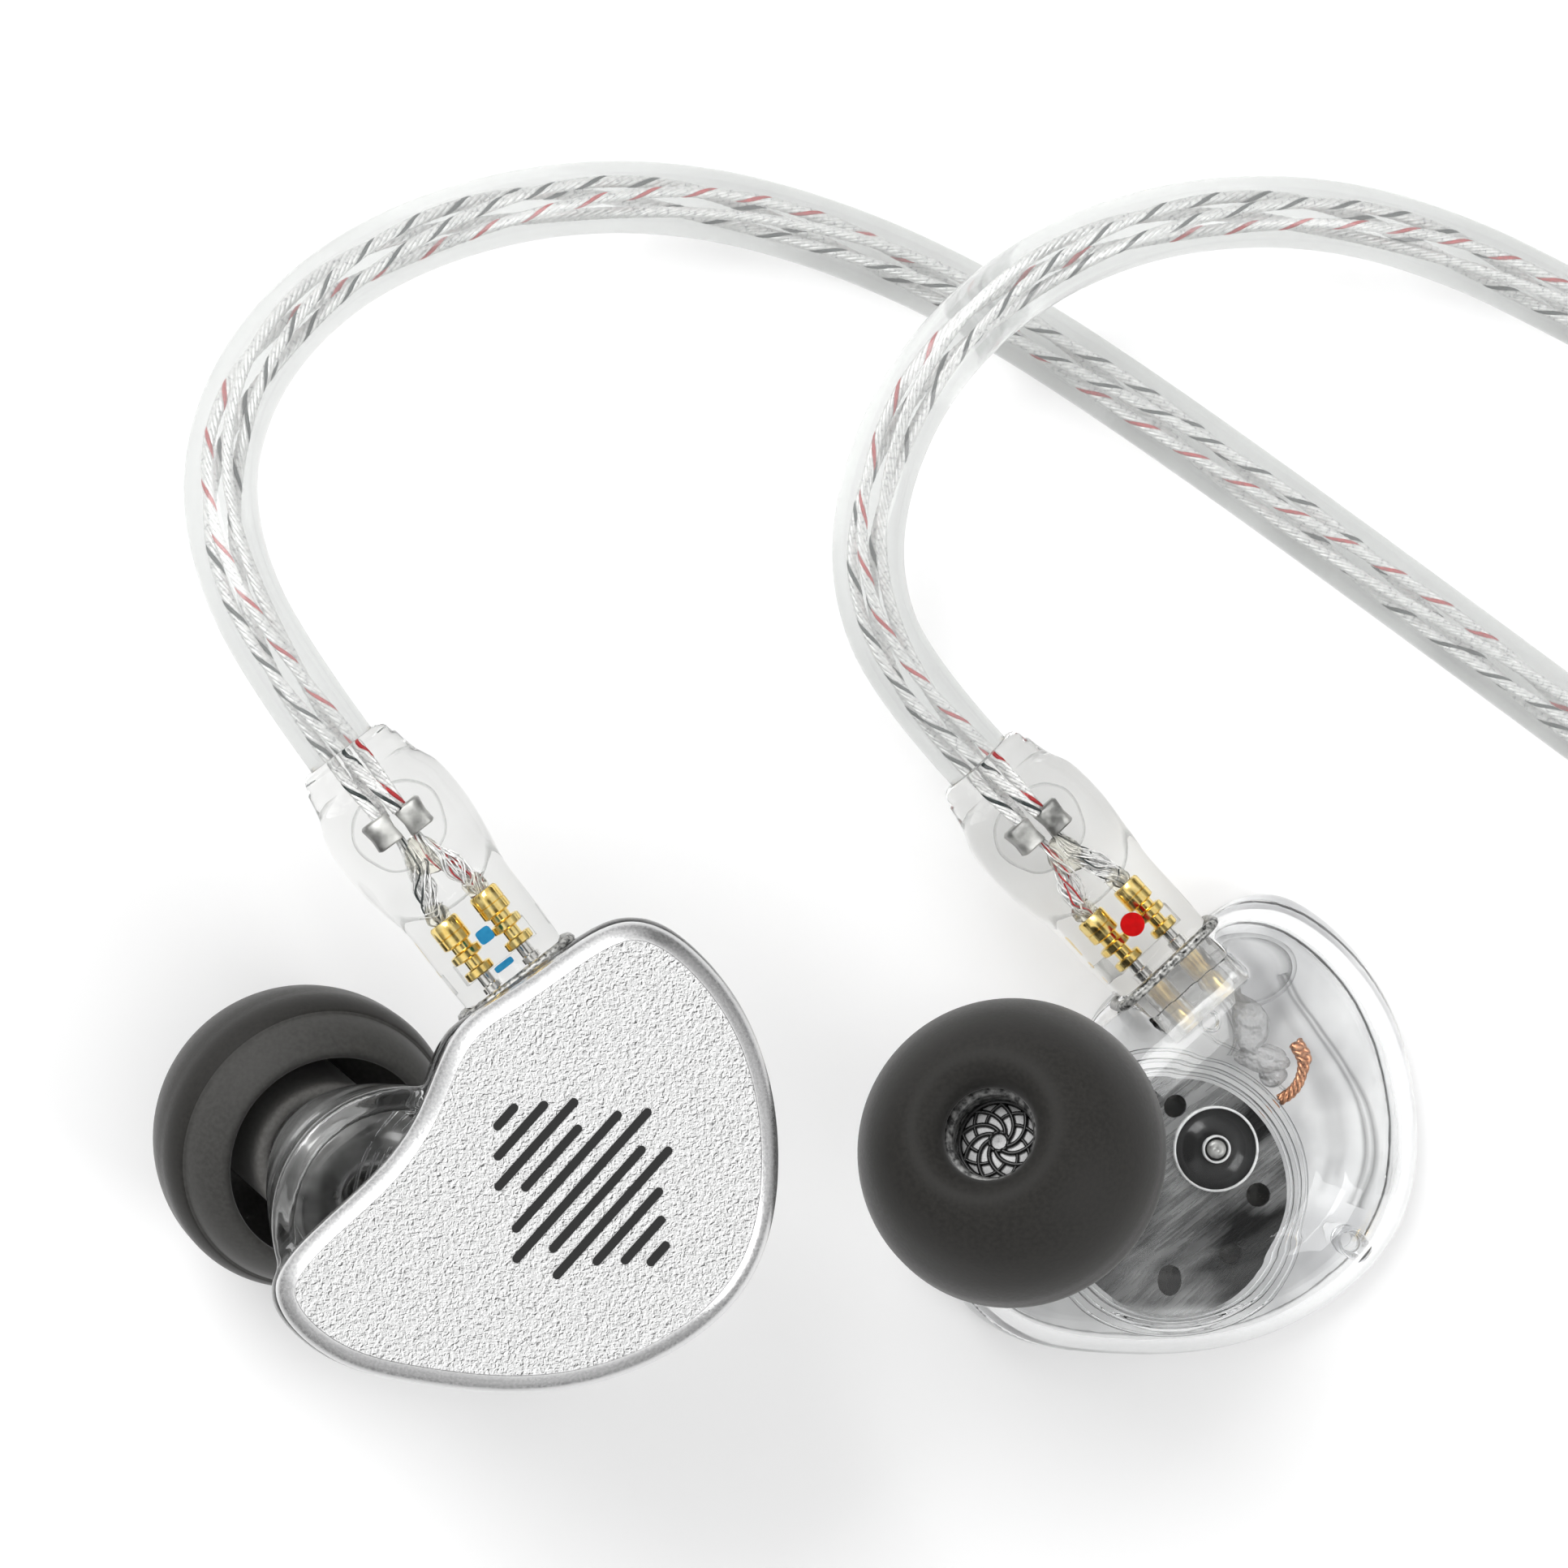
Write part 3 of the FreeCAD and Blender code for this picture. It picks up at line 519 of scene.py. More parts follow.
def blasted_aluminium_painted_emboss():
    """Fine crisp relief over the faceplate, with painted shade: one side of each grain pale, the other dark,
    as if lit from one side.
    """
    material, tree, shader = new_material("blasted_aluminium_painted_emboss", Metallic=0.45)
    fields = [noise(tree, 6000.0, 2.5, 0.6, shift=(shift, -shift, 0), distortion=0.7)
              for shift in (0.0, 0.00003)]
    slope = node(tree, "ShaderNodeMath", operation="SUBTRACT")
    tree.links.new(fields[0], slope.inputs[0])
    tree.links.new(fields[1], slope.inputs[1])
    centred = node(tree, "ShaderNodeMath", operation="ADD")
    centred.inputs[1].default_value = 0.5
    tree.links.new(slope.outputs["Value"], centred.inputs[0])
    # painted shade: the difference of two offset noises colours each grain pale on one side and dark on the
    # other
    shade = stops(tree, centred.outputs["Value"],
                  [(0.34, 0.05), (0.42, 0.36), (0.47, 0.68), (0.53, 0.78), (0.60, 0.94)])
    tree.links.new(shade, shader.inputs["Base Color"])
    tree.links.new(ramp(tree, fields[0], 0.50, 0.40), shader.inputs["Roughness"])
    bump(tree, shader, ramp(tree, fields[0], 0.0, 1.0, 0.40, 0.60), 0.6, 0.00003)
    return material


def brushed_steel():
    """Turned steel plate with fine streaks, and broad dark reflections painted into its colour."""
    material, tree, shader = new_material("brushed_steel", Metallic=1.0)
    turn = node(tree, "ShaderNodeMapping", Rotation=(0, 0, math.radians(-38)))
    coordinates = node(tree, "ShaderNodeTexCoord")
    tree.links.new(coordinates.outputs["Object"], turn.inputs["Vector"])
    streaks = noise(tree, 9000.0, 4.0, stretch=(0.06, 1, 1), source=turn.outputs["Vector"])
    patches = noise(tree, 330.0, 2.5, stretch=(0.45, 1, 1), source=turn.outputs["Vector"])
    # painted reflection: low-frequency patches darken the base colour in broad bands
    tree.links.new(ramp(tree, patches, 0.03, 0.55, 0.42, 0.60), shader.inputs["Base Color"])
    tree.links.new(ramp(tree, streaks, 0.20, 0.34), shader.inputs["Roughness"])
    bump(tree, shader, streaks, 0.16, 0.00002)
    return material


def silicone_rubber(name, low, high):
    """Matt grey rubber, paler where it is grazed."""
    return solid(name, low, high, 0.60, 0.0, 5200.0, 0.00002, 0.25, rough_spread=0.06, Sheen_Weight=0.26,
                 Sheen_Roughness=0.38, Specular_IOR_Level=0.20)


def jacketed_strand():
    """Silver strands in a thin clear jacket, which is glossiest over their bright grain."""
    return solid("jacketed_strand", (0.50, 0.50, 0.51), (0.86, 0.86, 0.87), 0.35, 0.6, 5200.0, 0.00003, 0.4,
                 rough_spread=-0.07, Coat_Weight=0.8, Coat_Roughness=0.08)


def pale_floor():
    material, tree, shader = new_material("pale_floor", Roughness=0.9)
    tree.links.new(ramp(tree, noise(tree, 6.0), 0.95, 0.97), shader.inputs["Base Color"])
    return material


MATERIALS = dict(
    face=blasted_aluminium_painted_emboss(),
    rim=solid("cut_aluminium", (0.64, 0.64, 0.645), 0.74, 0.20, 0.9, 9000.0, 0.000005, 0.15, 0.05),
    ink=solid("printed_ink", 0.003, 0.012, 0.72, 0.0, 9000.0),
    inner_face=solid("inner_face", (0.56, 0.56, 0.57), 0.84, 0.4, 0.3, 260.0),
    resin=clear("clear_resin", (0.905, 0.912, 0.912), 0.01, 1.47, 380.0, 0.00006, 0.2),
    acrylic=clear("clear_acrylic", (0.97, 0.975, 0.98), 0.02, 1.47, 700.0, 0.00003, 0.2),
    plug=clear("clear_plug", (0.865, 0.868, 0.860), 0.02, 1.24, 600.0, 0.00004, 0.12),
    hook=clear("clear_hook", (0.745, 0.755, 0.748), 0.14, 1.27, 500.0, 0.00002, 0.06, milk=0.24,
               coat=0.4),
    # painted dark reflection: the neck body's streaky grey stands for the dark reflections in the clear neck
    neck=solid("neck_painted_dark_reflection", (0.035, 0.035, 0.034), (0.26, 0.26, 0.255), 0.16, 0.3, 330.0, 0.0002, 0.5,
               stretch=(1, 1, 0.4), Coat_Weight=1.0),
    cap=film_skin("cap_boundary", (0.34, 0.35, 0.34)),
    wall=film_skin("cavity_boundary", (0.16, 0.16, 0.16)),
    seam=solid("seam_glue", 0.015, (0.52, 0.52, 0.50), 0.35, 0.5, 5200.0, 0.00006, 0.7),
    glue=clear("clear_glue", (0.95, 0.93, 0.84), 0.12, 1.33, 1500.0, 0.0001, 0.5, milk=0.05),
    frost=clear("frosted_blob", (0.66, 0.66, 0.66), 0.22, 1.45, 1900.0, 0.0006, 1.0, milk=0.40),
    silicone=silicone_rubber("grey_silicone", (0.016, 0.0152, 0.0138), (0.024, 0.0228, 0.0207)),
    # painted light: skirt and inside are lighter copies of the same grey silicone, for the light that falls
    # on them
    skirt=silicone_rubber("silicone_painted_light_skirt", (0.045, 0.044, 0.0415), (0.058, 0.057, 0.054)),
    inside_painted_light=silicone_rubber("silicone_painted_light_inside", (0.15, 0.147, 0.14), (0.19, 0.186, 0.178)),
    steel=brushed_steel(),
    dark_steel=solid("dark_steel", (0.05, 0.05, 0.052), 0.12, 0.3, 1.0, 2500.0, 0.00001, 0.2),
    grid=solid("etched_grid", 0.004, 0.016, 0.25, 0.3, 6000.0),
    mesh_cloth=solid("filter_cloth", 0.62, 0.85, 0.6, 0.0, 26000.0, 0.00002, 0.5),
    worn_steel=solid("worn_steel", 0.02, (0.24, 0.24, 0.235), 0.40, 0.5, 4200.0, 0.00003, 0.5),
    gold=solid("gold_plate", (0.93, 0.66, 0.20), (1.0, 0.80, 0.34), 0.16, 1.0, 2600.0, 0.00001, 0.2),
    copper=solid("enamelled_copper", (0.30, 0.12, 0.06), (0.70, 0.36, 0.20), 0.35, 0.8, 9000.0,
                 0.00002, 0.4),
    film=solid("membrane_film", (0.03, 0.03, 0.028), (0.07, 0.065, 0.055), 0.25, 0.2, 1200.0),
    black=solid("black_plastic", 0.006, 0.012, 0.12, 0.0, 700.0, rough_spread=0.04),
    white=solid("white_ring", 0.70, 0.85, 0.3, 0.0, 2500.0),
    socket=clear("socket_plastic", (0.84, 0.84, 0.83), 0.10, 1.5, 900.0, 0.0002, 0.6, milk=0.15),
    silver=solid("silver_strand", 0.62, (0.86, 0.86, 0.85), 0.34, 0.35, 5200.0, 0.00001, 0.3),
    pin=solid("silver_pin", (0.70, 0.69, 0.67), (0.88, 0.87, 0.85), 0.18, 1.0, 2600.0, 0.00001, 0.2),
    red_thread=solid("red_thread", (0.30, 0.004, 0.008), (0.48, 0.012, 0.015), 0.4, 0.0, 8000.0),
    dark_thread=solid("dark_thread", (0.006, 0.012, 0.012), (0.02, 0.03, 0.03), 0.4, 0.0, 8000.0),
    blue_mark=solid("blue_mark", (0.015, 0.19, 0.38), (0.025, 0.25, 0.46), 0.4, 0.0, 3500.0,
                    Specular_IOR_Level=0.15),
    red_mark=solid("red_mark", (0.42, 0.0, 0.0005), (0.54, 0.0005, 0.001), 0.5, 0.0, 3500.0,
                   Specular_IOR_Level=0.10),
    crimp=solid("crimp_metal", (0.16, 0.16, 0.155), (0.58, 0.58, 0.56), 0.42, 0.6, 1100.0, 0.00005, 0.6),
    strap=solid("tie_strap", (0.015, 0.015, 0.016), (0.04, 0.04, 0.042), 0.7, 0.0, 6000.0, 0.00005, 0.5),
    turned=solid("turned_aluminium", (0.62, 0.62, 0.63), (0.80, 0.80, 0.81), 0.24, 1.0, 2400.0, 0.00001, 0.2,
                 stretch=(12, 1, 1)),
    rubber=solid("soft_rubber", (0.02, 0.02, 0.021), (0.04, 0.04, 0.041), 0.6, 0.0, 5000.0, 0.00003, 0.3),
    cord=jacketed_strand(),
    floor=pale_floor(),
)


# ---- camera, light and floor --------------------------------------------------------------
def camera():
    data = bpy.data.cameras.new("camera")
    data.lens = VIEW_LENS
    data.sensor_width = 36.0
    data.clip_start = 0.01
    forward = Vector((math.sin(VIEW_TILT), 0, -math.cos(VIEW_TILT)))
    right = Vector((math.cos(VIEW_TILT), 0, math.sin(VIEW_TILT)))
    turn = Matrix((right, (0, 1, 0), -forward)).transposed().to_4x4()
    piece = add_object("camera", data)
    piece.matrix_world = Matrix.Translation(VIEW_TARGET - forward * VIEW_DISTANCE) @ turn
    bpy.context.scene.camera = piece


def area_light(name, place, aim, size, power):
    data = bpy.data.lights.new(name, "AREA")
    data.shape = "RECTANGLE"
    data.size, data.size_y = size
    data.energy = power
    piece = add_object(name, data)
    piece.location = place
    piece.rotation_euler = (Vector(aim) - Vector(place)).to_track_quat("-Z", "Y").to_euler()
    piece.visible_camera = False


def mixed(tree, kind, a, b, factor=None):
    made = node(tree, "ShaderNodeMix", data_type="RGBA", blend_type=kind)
    made.inputs["Factor"].default_value = 1.0
    if factor is not None:
        tree.links.new(factor, made.inputs["Factor"])
    tree.links.new(a, made.inputs["A"])
    tree.links.new(b, made.inputs["B"])
    return made.outputs["Result"]


def surroundings():
    """A pale room: even light above round a dark opening; low down one bright wall and grey ones."""
    world = bpy.data.worlds.new("studio")
    world.use_nodes = True
    tree = world.node_tree
    shade = tree.nodes["Background"]
    coordinates = node(tree, "ShaderNodeTexCoord")
    split = node(tree, "ShaderNodeSeparateXYZ")
    tree.links.new(coordinates.outputs["Generated"], split.inputs["Vector"])
    height = split.outputs["Z"]
    levels = stops(tree, height, [(0.0, 0.35), (0.10, 0.55), (0.30, 0.98), (0.62, 1.0), (0.88, 0.92),
                                  (0.95, 0.60), (0.98, 0.16), (1.0, 0.14)])
    round_about = node(tree, "ShaderNodeTexGradient", gradient_type="RADIAL")
    tree.links.new(coordinates.outputs["Generated"], round_about.inputs["Vector"])
    walls = stops(tree, round_about.outputs["Fac"],
                  [(0.0, 0.50), (0.12, 0.42), (0.25, 0.55), (0.38, 0.45), (0.50, 0.62), (0.60, 0.42),
                   (0.667, 0.10), (0.72, 0.45), (0.80, 1.0), (0.90, 1.0), (0.95, 0.60), (1.0, 0.50)])
    low = stops(tree, height, [(0.0, 1.0), (0.45, 1.0), (0.72, 0.0)])
    plain = stops(tree, height, [(0.0, 1.0), (1.0, 1.0)])
    around = mixed(tree, "MIX", plain, walls, low)
    patches = node(tree, "ShaderNodeTexNoise", Scale=3.2, Detail=1.0)
    tree.links.new(coordinates.outputs["Generated"], patches.inputs["Vector"])
    spots = ramp(tree, patches.outputs["Fac"], 0.80, 1.06, 0.38, 0.62)
    light = mixed(tree, "MULTIPLY", mixed(tree, "MULTIPLY", levels, around), spots)
    tree.links.new(light, shade.inputs["Color"])
    shade.inputs["Strength"].default_value = 1.16
    bpy.context.scene.world = world


def studio():
    surroundings()
    area_light("key", (-0.22, 0.26, 0.34), (0, 0, 0), (0.26, 0.26), 1.25)
    area_light("fill", (0.34, -0.20, 0.30), (0.01, 0, 0), (0.22, 0.22), 0.66)
    bpy.context.scene.view_settings.view_transform = "Standard"
    corners = [(x * FLOOR_REACH, y * FLOOR_REACH, FLOOR_Z) for x, y in ((-1, -1), (1, -1), (1, 1), (-1, 1))]
    add_mesh("floor", corners, [(0, 1, 2, 3)], WORLD, "floor", smooth=False)


# ---- free cable ---------------------------------------------------------------------------
# the threads' materials come after a piece's first one, and their numbers say which they are
THREADS = ("red_thread", "dark_thread")
RED = 1
DARK = 2


def coil_points(coil, start, end, turns, sense, per_turn=16):
    """Turns that spiral in and out by layers, from the angle start to the angle end."""
    x, y = coil["centre"]
    a0 = math.atan2(start[1] - y, start[0] - x)
    a1 = math.atan2(end[1] - y, end[0] - x)
    total = ((a1 - a0) * sense) % (2 * math.pi) + 2 * math.pi * turns
    layers = coil["layers"]
    step = 2 * math.pi / 3
    per_layer = (total - step * (layers - 1)) / layers
    count = int(total / (2 * math.pi) * per_turn)
    points = []
    for k in range(1, count):
        angle = total * k / count
        layer = min(int(angle / (per_layer + step)), layers - 1)
        into = angle - layer * (per_layer + step)
        share = min(into / per_layer, 1.0)
        rise = max(0.0, (into - per_layer) / step)
        share = share if layer % 2 == 0 else 1 - share
        radius = coil["outer"] + (coil["inner"] - coil["outer"]) * share
        z = COIL_FLOOR + CORD_R * (1 + 2 * layer + 2 * (3 * rise**2 - 2 * rise**3))
        points.append((x + radius * math.cos(a0 + sense * angle),
                       y + radius * math.sin(a0 + sense * angle), z))
    return points


def wound(path, pitch, phase, lay_radius):
    """The line of one strand wound about a path of points, tangents and two normals."""
    points, _, normals, binormals = path
    angle = phase - 2 * np.pi * arc_length(points) / pitch
    return points + lay_radius * (np.cos(angle)[:, None] * normals + np.sin(angle)[:, None] * binormals)


def cable_strands(name, points, core_r=0.47, core_pitch=11.0, tracer_r=0.07, tracer_pitch=2.6):
    """Four twisted cores in clear jackets, two of them with a coloured tracer thread."""
    path = path_frames(evenly(points, CORD_STEP))
    parts = []
    for core, tracer_kind in enumerate((RED, 0, DARK, 0)):
        centre = wound(path, core_pitch, core * math.pi / 2, CORD_R - core_r)
        parts.append(sweep(centre, core_r, 8))
        if tracer_kind:
            tracer = wound((centre, *path[1:]), tracer_pitch, core, core_r - 0.04)
            parts.append((*sweep(tracer, tracer_r, 4), tracer_kind))
    return merged(name, parts, WORLD, "cord", *THREADS)


def lay_cord(name, coil, turns, sense, route_in, route_out, far_end, carried, *nodes):
    """One free cord: its strands, in place of what it stands for."""
    points = route_in + coil_points(coil, route_in[-1], route_out[0], turns, sense) + route_out
    path = spline_path(points)
    piece = cable_strands(name, path)
    bind(piece, "cable", "cord_jacket", *nodes)


def cables():
    fittings = ("y_splitter", "chin_slider")
    lay_cord("left_lead_strands", LEFT_COIL, 3, -1, LEFT_LEAD_IN, LEFT_LEAD_OUT, "fitting", fittings,
             "left_lead", "left_lead_coil")
    lay_cord("right_lead_strands", RIGHT_COIL, 4, 1, RIGHT_LEAD_IN, RIGHT_LEAD_OUT, "fitting", fittings,
             "right_lead", "right_lead_coil")
    lay_cord("main_cord_strands", MAIN_COIL, 11, -1, MAIN_IN, MAIN_OUT, "plug",
             ("jack_relief", "jack_housing", "jack_sleeve", "jack_insulators", "jack_ring", "jack_tip"),
             "main_cord", "main_cord_coil")


def strap(coil, heading, thick=0.3, half_length=1.5):
    """A soft strap round a coil's section, and its free end pressed down on top."""
    height = 2 * CORD_R * coil["layers"]
    out = unit(heading)
    along = Vector((-out.y, out.x, 0))
    middle = (coil["inner"] + coil["outer"]) / 2
    centre = Vector((*coil["centre"], COIL_FLOOR + height / 2)) + out * middle
    half_width = (coil["outer"] - coil["inner"]) / 2 + CORD_R + 0.2

    def loop(extra, shift):
        section = superellipse(0, half_width + extra, height / 2 + 0.15 + extra, 6.0)
        return [centre + out * x + along * shift + Vector((0, 0, z)) for x, z, _ in section]

    rows = ((0.0, -half_length), (thick - 0.1, -half_length), (thick, 0.1 - half_length),
            (thick, half_length - 0.1), (thick - 0.1, half_length), (0.0, half_length))
    verts = [v for row in rows for v in loop(*row)]
    end_half = half_length - 0.15
    edges = [loop(*row)[3:18] for row in ((thick - 0.05, -end_half), (thick - 0.05, end_half),
                                          (2 * thick - 0.1, end_half), (2 * thick - 0.1, -end_half))]
    free_end = [v for corner in zip(*edges) for v in corner]
    return (verts, ring_grid(len(rows), 48, closed=True)), (free_end, capped_grid(len(edges[0]), 4))


def coil_straps():
    parts = [part for coil, heading in ((LEFT_COIL, 200), (RIGHT_COIL, 60), (MAIN_COIL, 130))
             for part in strap(coil, heading)]
    piece = split_edges(outward(merged("coil_straps", parts, WORLD, "strap")), 50)
    bind(piece, "cable", "tie_strap", "coil_ties")


# ---- ear hooks ----------------------------------------------------------------------------
def hook_tube(side, path):
    """Clear rod moulded round the wires."""
    return outward(add_mesh(f"{side}_hook_tube", *sweep(evenly(path, 0.5), HOOK_R, 48), WORLD, "hook"))


def hook_strands(side, path, wires=6, core_pitch=34.0, core_lay=0.52, wire_pitch=2.5, wire_lay=0.13):
    """Four cores of fine bare wires, slowly twisted together; three wires are coloured."""
    path = path_frames(evenly(path, 0.22))
    coloured = {(0, 0): RED, (2, 0): DARK, (3, 3): DARK}
    parts = []
    for core in range(4):
        centre = wound(path, core_pitch, 0.5 + core * math.pi / 2, core_lay)
        parts.append(sweep(centre, 0.10, 6))
        for wire in range(wires):
            line = wound((centre, *path[1:]), wire_pitch, core + wire * 2 * math.pi / wires, wire_lay)
            parts.append((*sweep(line, 0.08, 6), coloured.get((core, wire), 0)))
    return merged(f"{side}_hook_strands", parts, WORLD, "silver", *THREADS)


def hooks():
    for side, route in (("left", LEFT_HOOK), ("right", RIGHT_HOOK)):
        tube_path = spline_path([plug_point(side, TUBE_START)] + route)
        core_path = spline_path([plug_point(side, CORE_START), plug_point(side, HOOK_START)] + route)
        bind(hook_tube(side, tube_path), "cable", "hook_clear", f"{side}_ear_hook")
        bind(hook_strands(side, core_path), "cable", "strand_silver", f"{side}_hook_core")


# ---- earpieces ----------------------------------------------------------------------------
def closed_spline(points, per_span=14):
    """Periodic cubic spline through the points, spaced by chord length."""
    p = np.asarray(points, float)
    count = len(p)
    h = np.linalg.norm(np.roll(p, -1, axis=0) - p, axis=1)
    system = np.zeros((count, count))
    right = np.zeros_like(p)
    for i in range(count):
        before, after = (i - 1) % count, (i + 1) % count
        system[i, before] += h[before]
        system[i, i] += 2 * (h[before] + h[i])
        system[i, after] += h[i]
        right[i] = 6 * ((p[after] - p[i]) / h[i] - (p[i] - p[before]) / h[before])
    m = np.linalg.solve(system, right)
    out = []
    for i in range(count):
        after = (i + 1) % count
        for k in range(per_span):
            a = h[i] * k / per_span
            b = h[i] - a
            out.append((m[i] * b**3 + m[after] * a**3) / (6 * h[i])
                       + (p[i] / h[i] - m[i] * h[i] / 6) * b + (p[after] / h[i] - m[after] * h[i] / 6) * a)
    return np.array(out)


def even_outline(step=0.22):
    """The faceplate's outline, once round, in even steps."""
    around = closed_spline(OUTLINE)
    return evenly(np.c_[np.r_[around, around[:1]], np.zeros(len(around) + 1)], step)[:-1, :2]


outline_points = even_outline()


def inset_outline(inset):
    tangent = np.roll(outline_points, -1, axis=0) - np.roll(outline_points, 1, axis=0)
    tangent /= np.linalg.norm(tangent, axis=1)[:, None]
    inward = np.stack([tangent[:, 1], -tangent[:, 0]], axis=1)
    return outline_points + inward * inset


FACE_PROFILE = [
    (CHAMFER_WIDTH + 0.05, 0.03), (CHAMFER_WIDTH + 0.02, 0.0), (CHAMFER_WIDTH - 0.03, 0.015),
    (0.04, RIM_CHAMFER - 0.03), (0.0, RIM_CHAMFER + 0.05), (0.0, FACEPLATE_THICK - 0.05),
    (0.05, FACEPLATE_THICK),
]


def faceplate(side):
    """Blasted face, cut rim with its chamfer, and plain back."""
    rings = [np.c_[inset_outline(inset), np.full(len(outline_points), z)] for inset, z in FACE_PROFILE]
    count = len(outline_points)
    faces = ring_grid(len(rings), count)
    kinds = [1] * len(faces) + [0, 2]
    faces += [tuple(range(count)), tuple((len(rings) - 1) * count + k for k in range(count))[::-1]]
    piece = add_mesh(f"{side}_face", np.concatenate(rings).tolist(), faces, EARPIECE[side],
                     "face", "rim", "inner_face", kinds=kinds)
    return split_edges(outward(piece), 35)


def motif(side, spacing=0.84, half_width=0.18):
    """Plain printed bars of different lengths, side by side."""
    lengths = [1.0, 2.8, 4.6, 3.2, 6.2, 8.0, 5.4, 6.8, 3.8, 2.2, 0.9]
    parts = []
    for k, length in enumerate(lengths):
        x = (k - (len(lengths) - 1) / 2) * spacing
        ends = []
        for sign in (1, -1):
            for angle in [math.pi * a / 8 for a in range(9)]:
                ends.append((x + sign * half_width * math.cos(angle),
                             sign * (length / 2 + half_width * math.sin(angle))))
        parts.append(([(px, py, z) for z in (0.02, -0.004) for px, py in ends],
                      capped_grid(2, len(ends))))
    turn = Matrix.Rotation(math.radians(MOTIF_TURN), 4, "Z")
    place = EARPIECE[side] @ Matrix.Translation((*MOTIF_CENTRE, 0)) @ turn
    return outward(merged(f"{side}_motif", parts, place, "ink", smooth=False))


def shell(side):
    """The clear shell: the part's own solid, with its joints blended."""
    piece = add_object(f"{side}_clear_shell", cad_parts[f"{side}_shell"].data.copy())
    grow = piece.modifiers.new("grid", "REMESH")
    grow.mode = "VOXEL"
    grow.voxel_size = SHELL_GRID * MM
    smooth = piece.modifiers.new("blend", "SMOOTH")
    smooth.factor = 0.6
    smooth.iterations = 14
    bpy.context.view_layer.update()
    mesh = bpy.data.meshes.new_from_object(piece.evaluated_get(bpy.context.evaluated_depsgraph_get()))
    piece.modifiers.clear()
    piece.data = mesh
    mesh.polygons.foreach_set("use_smooth", [True] * len(mesh.polygons))
    mesh.materials.clear()
    mesh.materials.append(MATERIALS["resin"])
    return piece


def ear_tip(side, segments=128):
    """Soft tip with its crown, its skirt and, seen down the opening, its inside and stem; skirt and inside
    get lighter copies of the crown's rubber as painted light.
    """
    inner_r = TIP_R - TIP_WALL
    crown = [(TIP_BORE_R, 4.7, 0), (2.02, 5.1, 0), (2.3, 5.55, 0), (2.85, TIP_TOP - 0.2, 0),
             (3.55, TIP_TOP - 0.26, 0), (4.45, 5.28, 0), (5.35, 4.25, 0), (6.06, 2.85, 0),
             (6.42, 1.5, 0), (TIP_R, 0.3, 0)]
    profile = [(r, z) for r, z, _ in spline_through(crown, 6)[:-1]]
    profile += arc((TIP_R, 0.3), (6.37, -0.5), (6.08, -1.05), 8)
    outer_rows = len(profile)
    profile += [(6.08, -1.05), (5.98, -1.08)]
    profile += arc((5.96, -1.12), (5.55, -1.95), (TIP_OPENING_R, TIP_SKIRT), 12)
    inner_edge = (TIP_OPENING_R - 0.25, TIP_SKIRT + 0.45)
    profile += arc((TIP_OPENING_R, TIP_SKIRT), (TIP_OPENING_R - 0.28, TIP_SKIRT + 0.1), inner_edge, 5)
    inner_rows = len(profile)
    profile += arc(inner_edge, (5.65, -0.9), (inner_r, 0.3), 10)
    profile += arc((inner_r, 0.3), (4.75, 3.35), (TIP_STEM_OUTER_R, 4.55), 16)
    profile += [(TIP_STEM_OUTER_R, 4.55 - 0.8 * k) for k in range(8)]
    profile += arc((TIP_STEM_OUTER_R, -1.75), (2.8, -1.95), (TIP_STEM_INNER_R, -1.75), 6)
    profile += [(TIP_STEM_INNER_R, -1.7), (TIP_STEM_INNER_R, 1.4), (TIP_STEM_INNER_R, 4.5)]
    verts, faces = revolve(profile, segments)
    rows = [number // segments for number in range(len(faces))]
    # painted light: the skirt rows and the inside rows take the lighter copies of the rubber
    zones = [(row >= outer_rows) + (row >= inner_rows) for row in rows]
    return outward(add_mesh(f"{side}_tip", verts, faces, NOZZLE[side], "silicone", "skirt", "inside_painted_light",
                            kinds=zones))


def filter_lattice(side, place, arms=9):
    """Etched swirl of arms that lean one way, with a second set across them."""
    parts = []
    for inner, swirl, power, width in ((0.36, 1.5, 0.8, 0.105), (0.95, -0.8, 1.0, 0.085)):
        for k in range(arms):
            line = []
            for t in [j / 16 for j in range(17)]:
                radius = inner + (NOZZLE_BORE_R - inner) * t
                angle = 2 * math.pi * k / arms + swirl * t**power
                line.append((radius * math.cos(angle), radius * math.sin(angle), 0.17))
            parts.append(sweep(line, width, 6))
    parts += [hoop(0.40, 0.17, 0.09, 48, 6), hoop(NOZZLE_BORE_R, 0.17, 0.13, 48, 6)]
    return outward(merged(f"{side}_filter_lattice", parts, place, "grid"))


def nozzle_filter(side):
    """Lattice over a pale cloth, set down the bore under a worn metal ring."""
    deep = NOZZLE[side] @ Matrix.Translation((0, 0, NOZZLE_END - 1.3))
    mouth = NOZZLE[side] @ Matrix.Translation((0, 0, NOZZLE_END - 0.28))
    lattice = filter_lattice(side, deep)
    disc = [(0.001, 0.0), (NOZZLE_BORE_R, 0.0), (NOZZLE_BORE_R, 0.1), (0.001, 0.1)]
    cloth = add_revolved(f"{side}_filter_cloth", disc, deep, "mesh_cloth", 64)
    holder = [(1.71, -0.8), (2.0, -0.8), (2.0, 0.0), (2.35, 0.02), (2.38, 0.3), (2.3, 0.36), (1.8, 0.36),
              (1.71, 0.28)]
    return [lattice, cloth, add_revolved(f"{side}_filter_ring", holder, mouth, "worn_steel")]


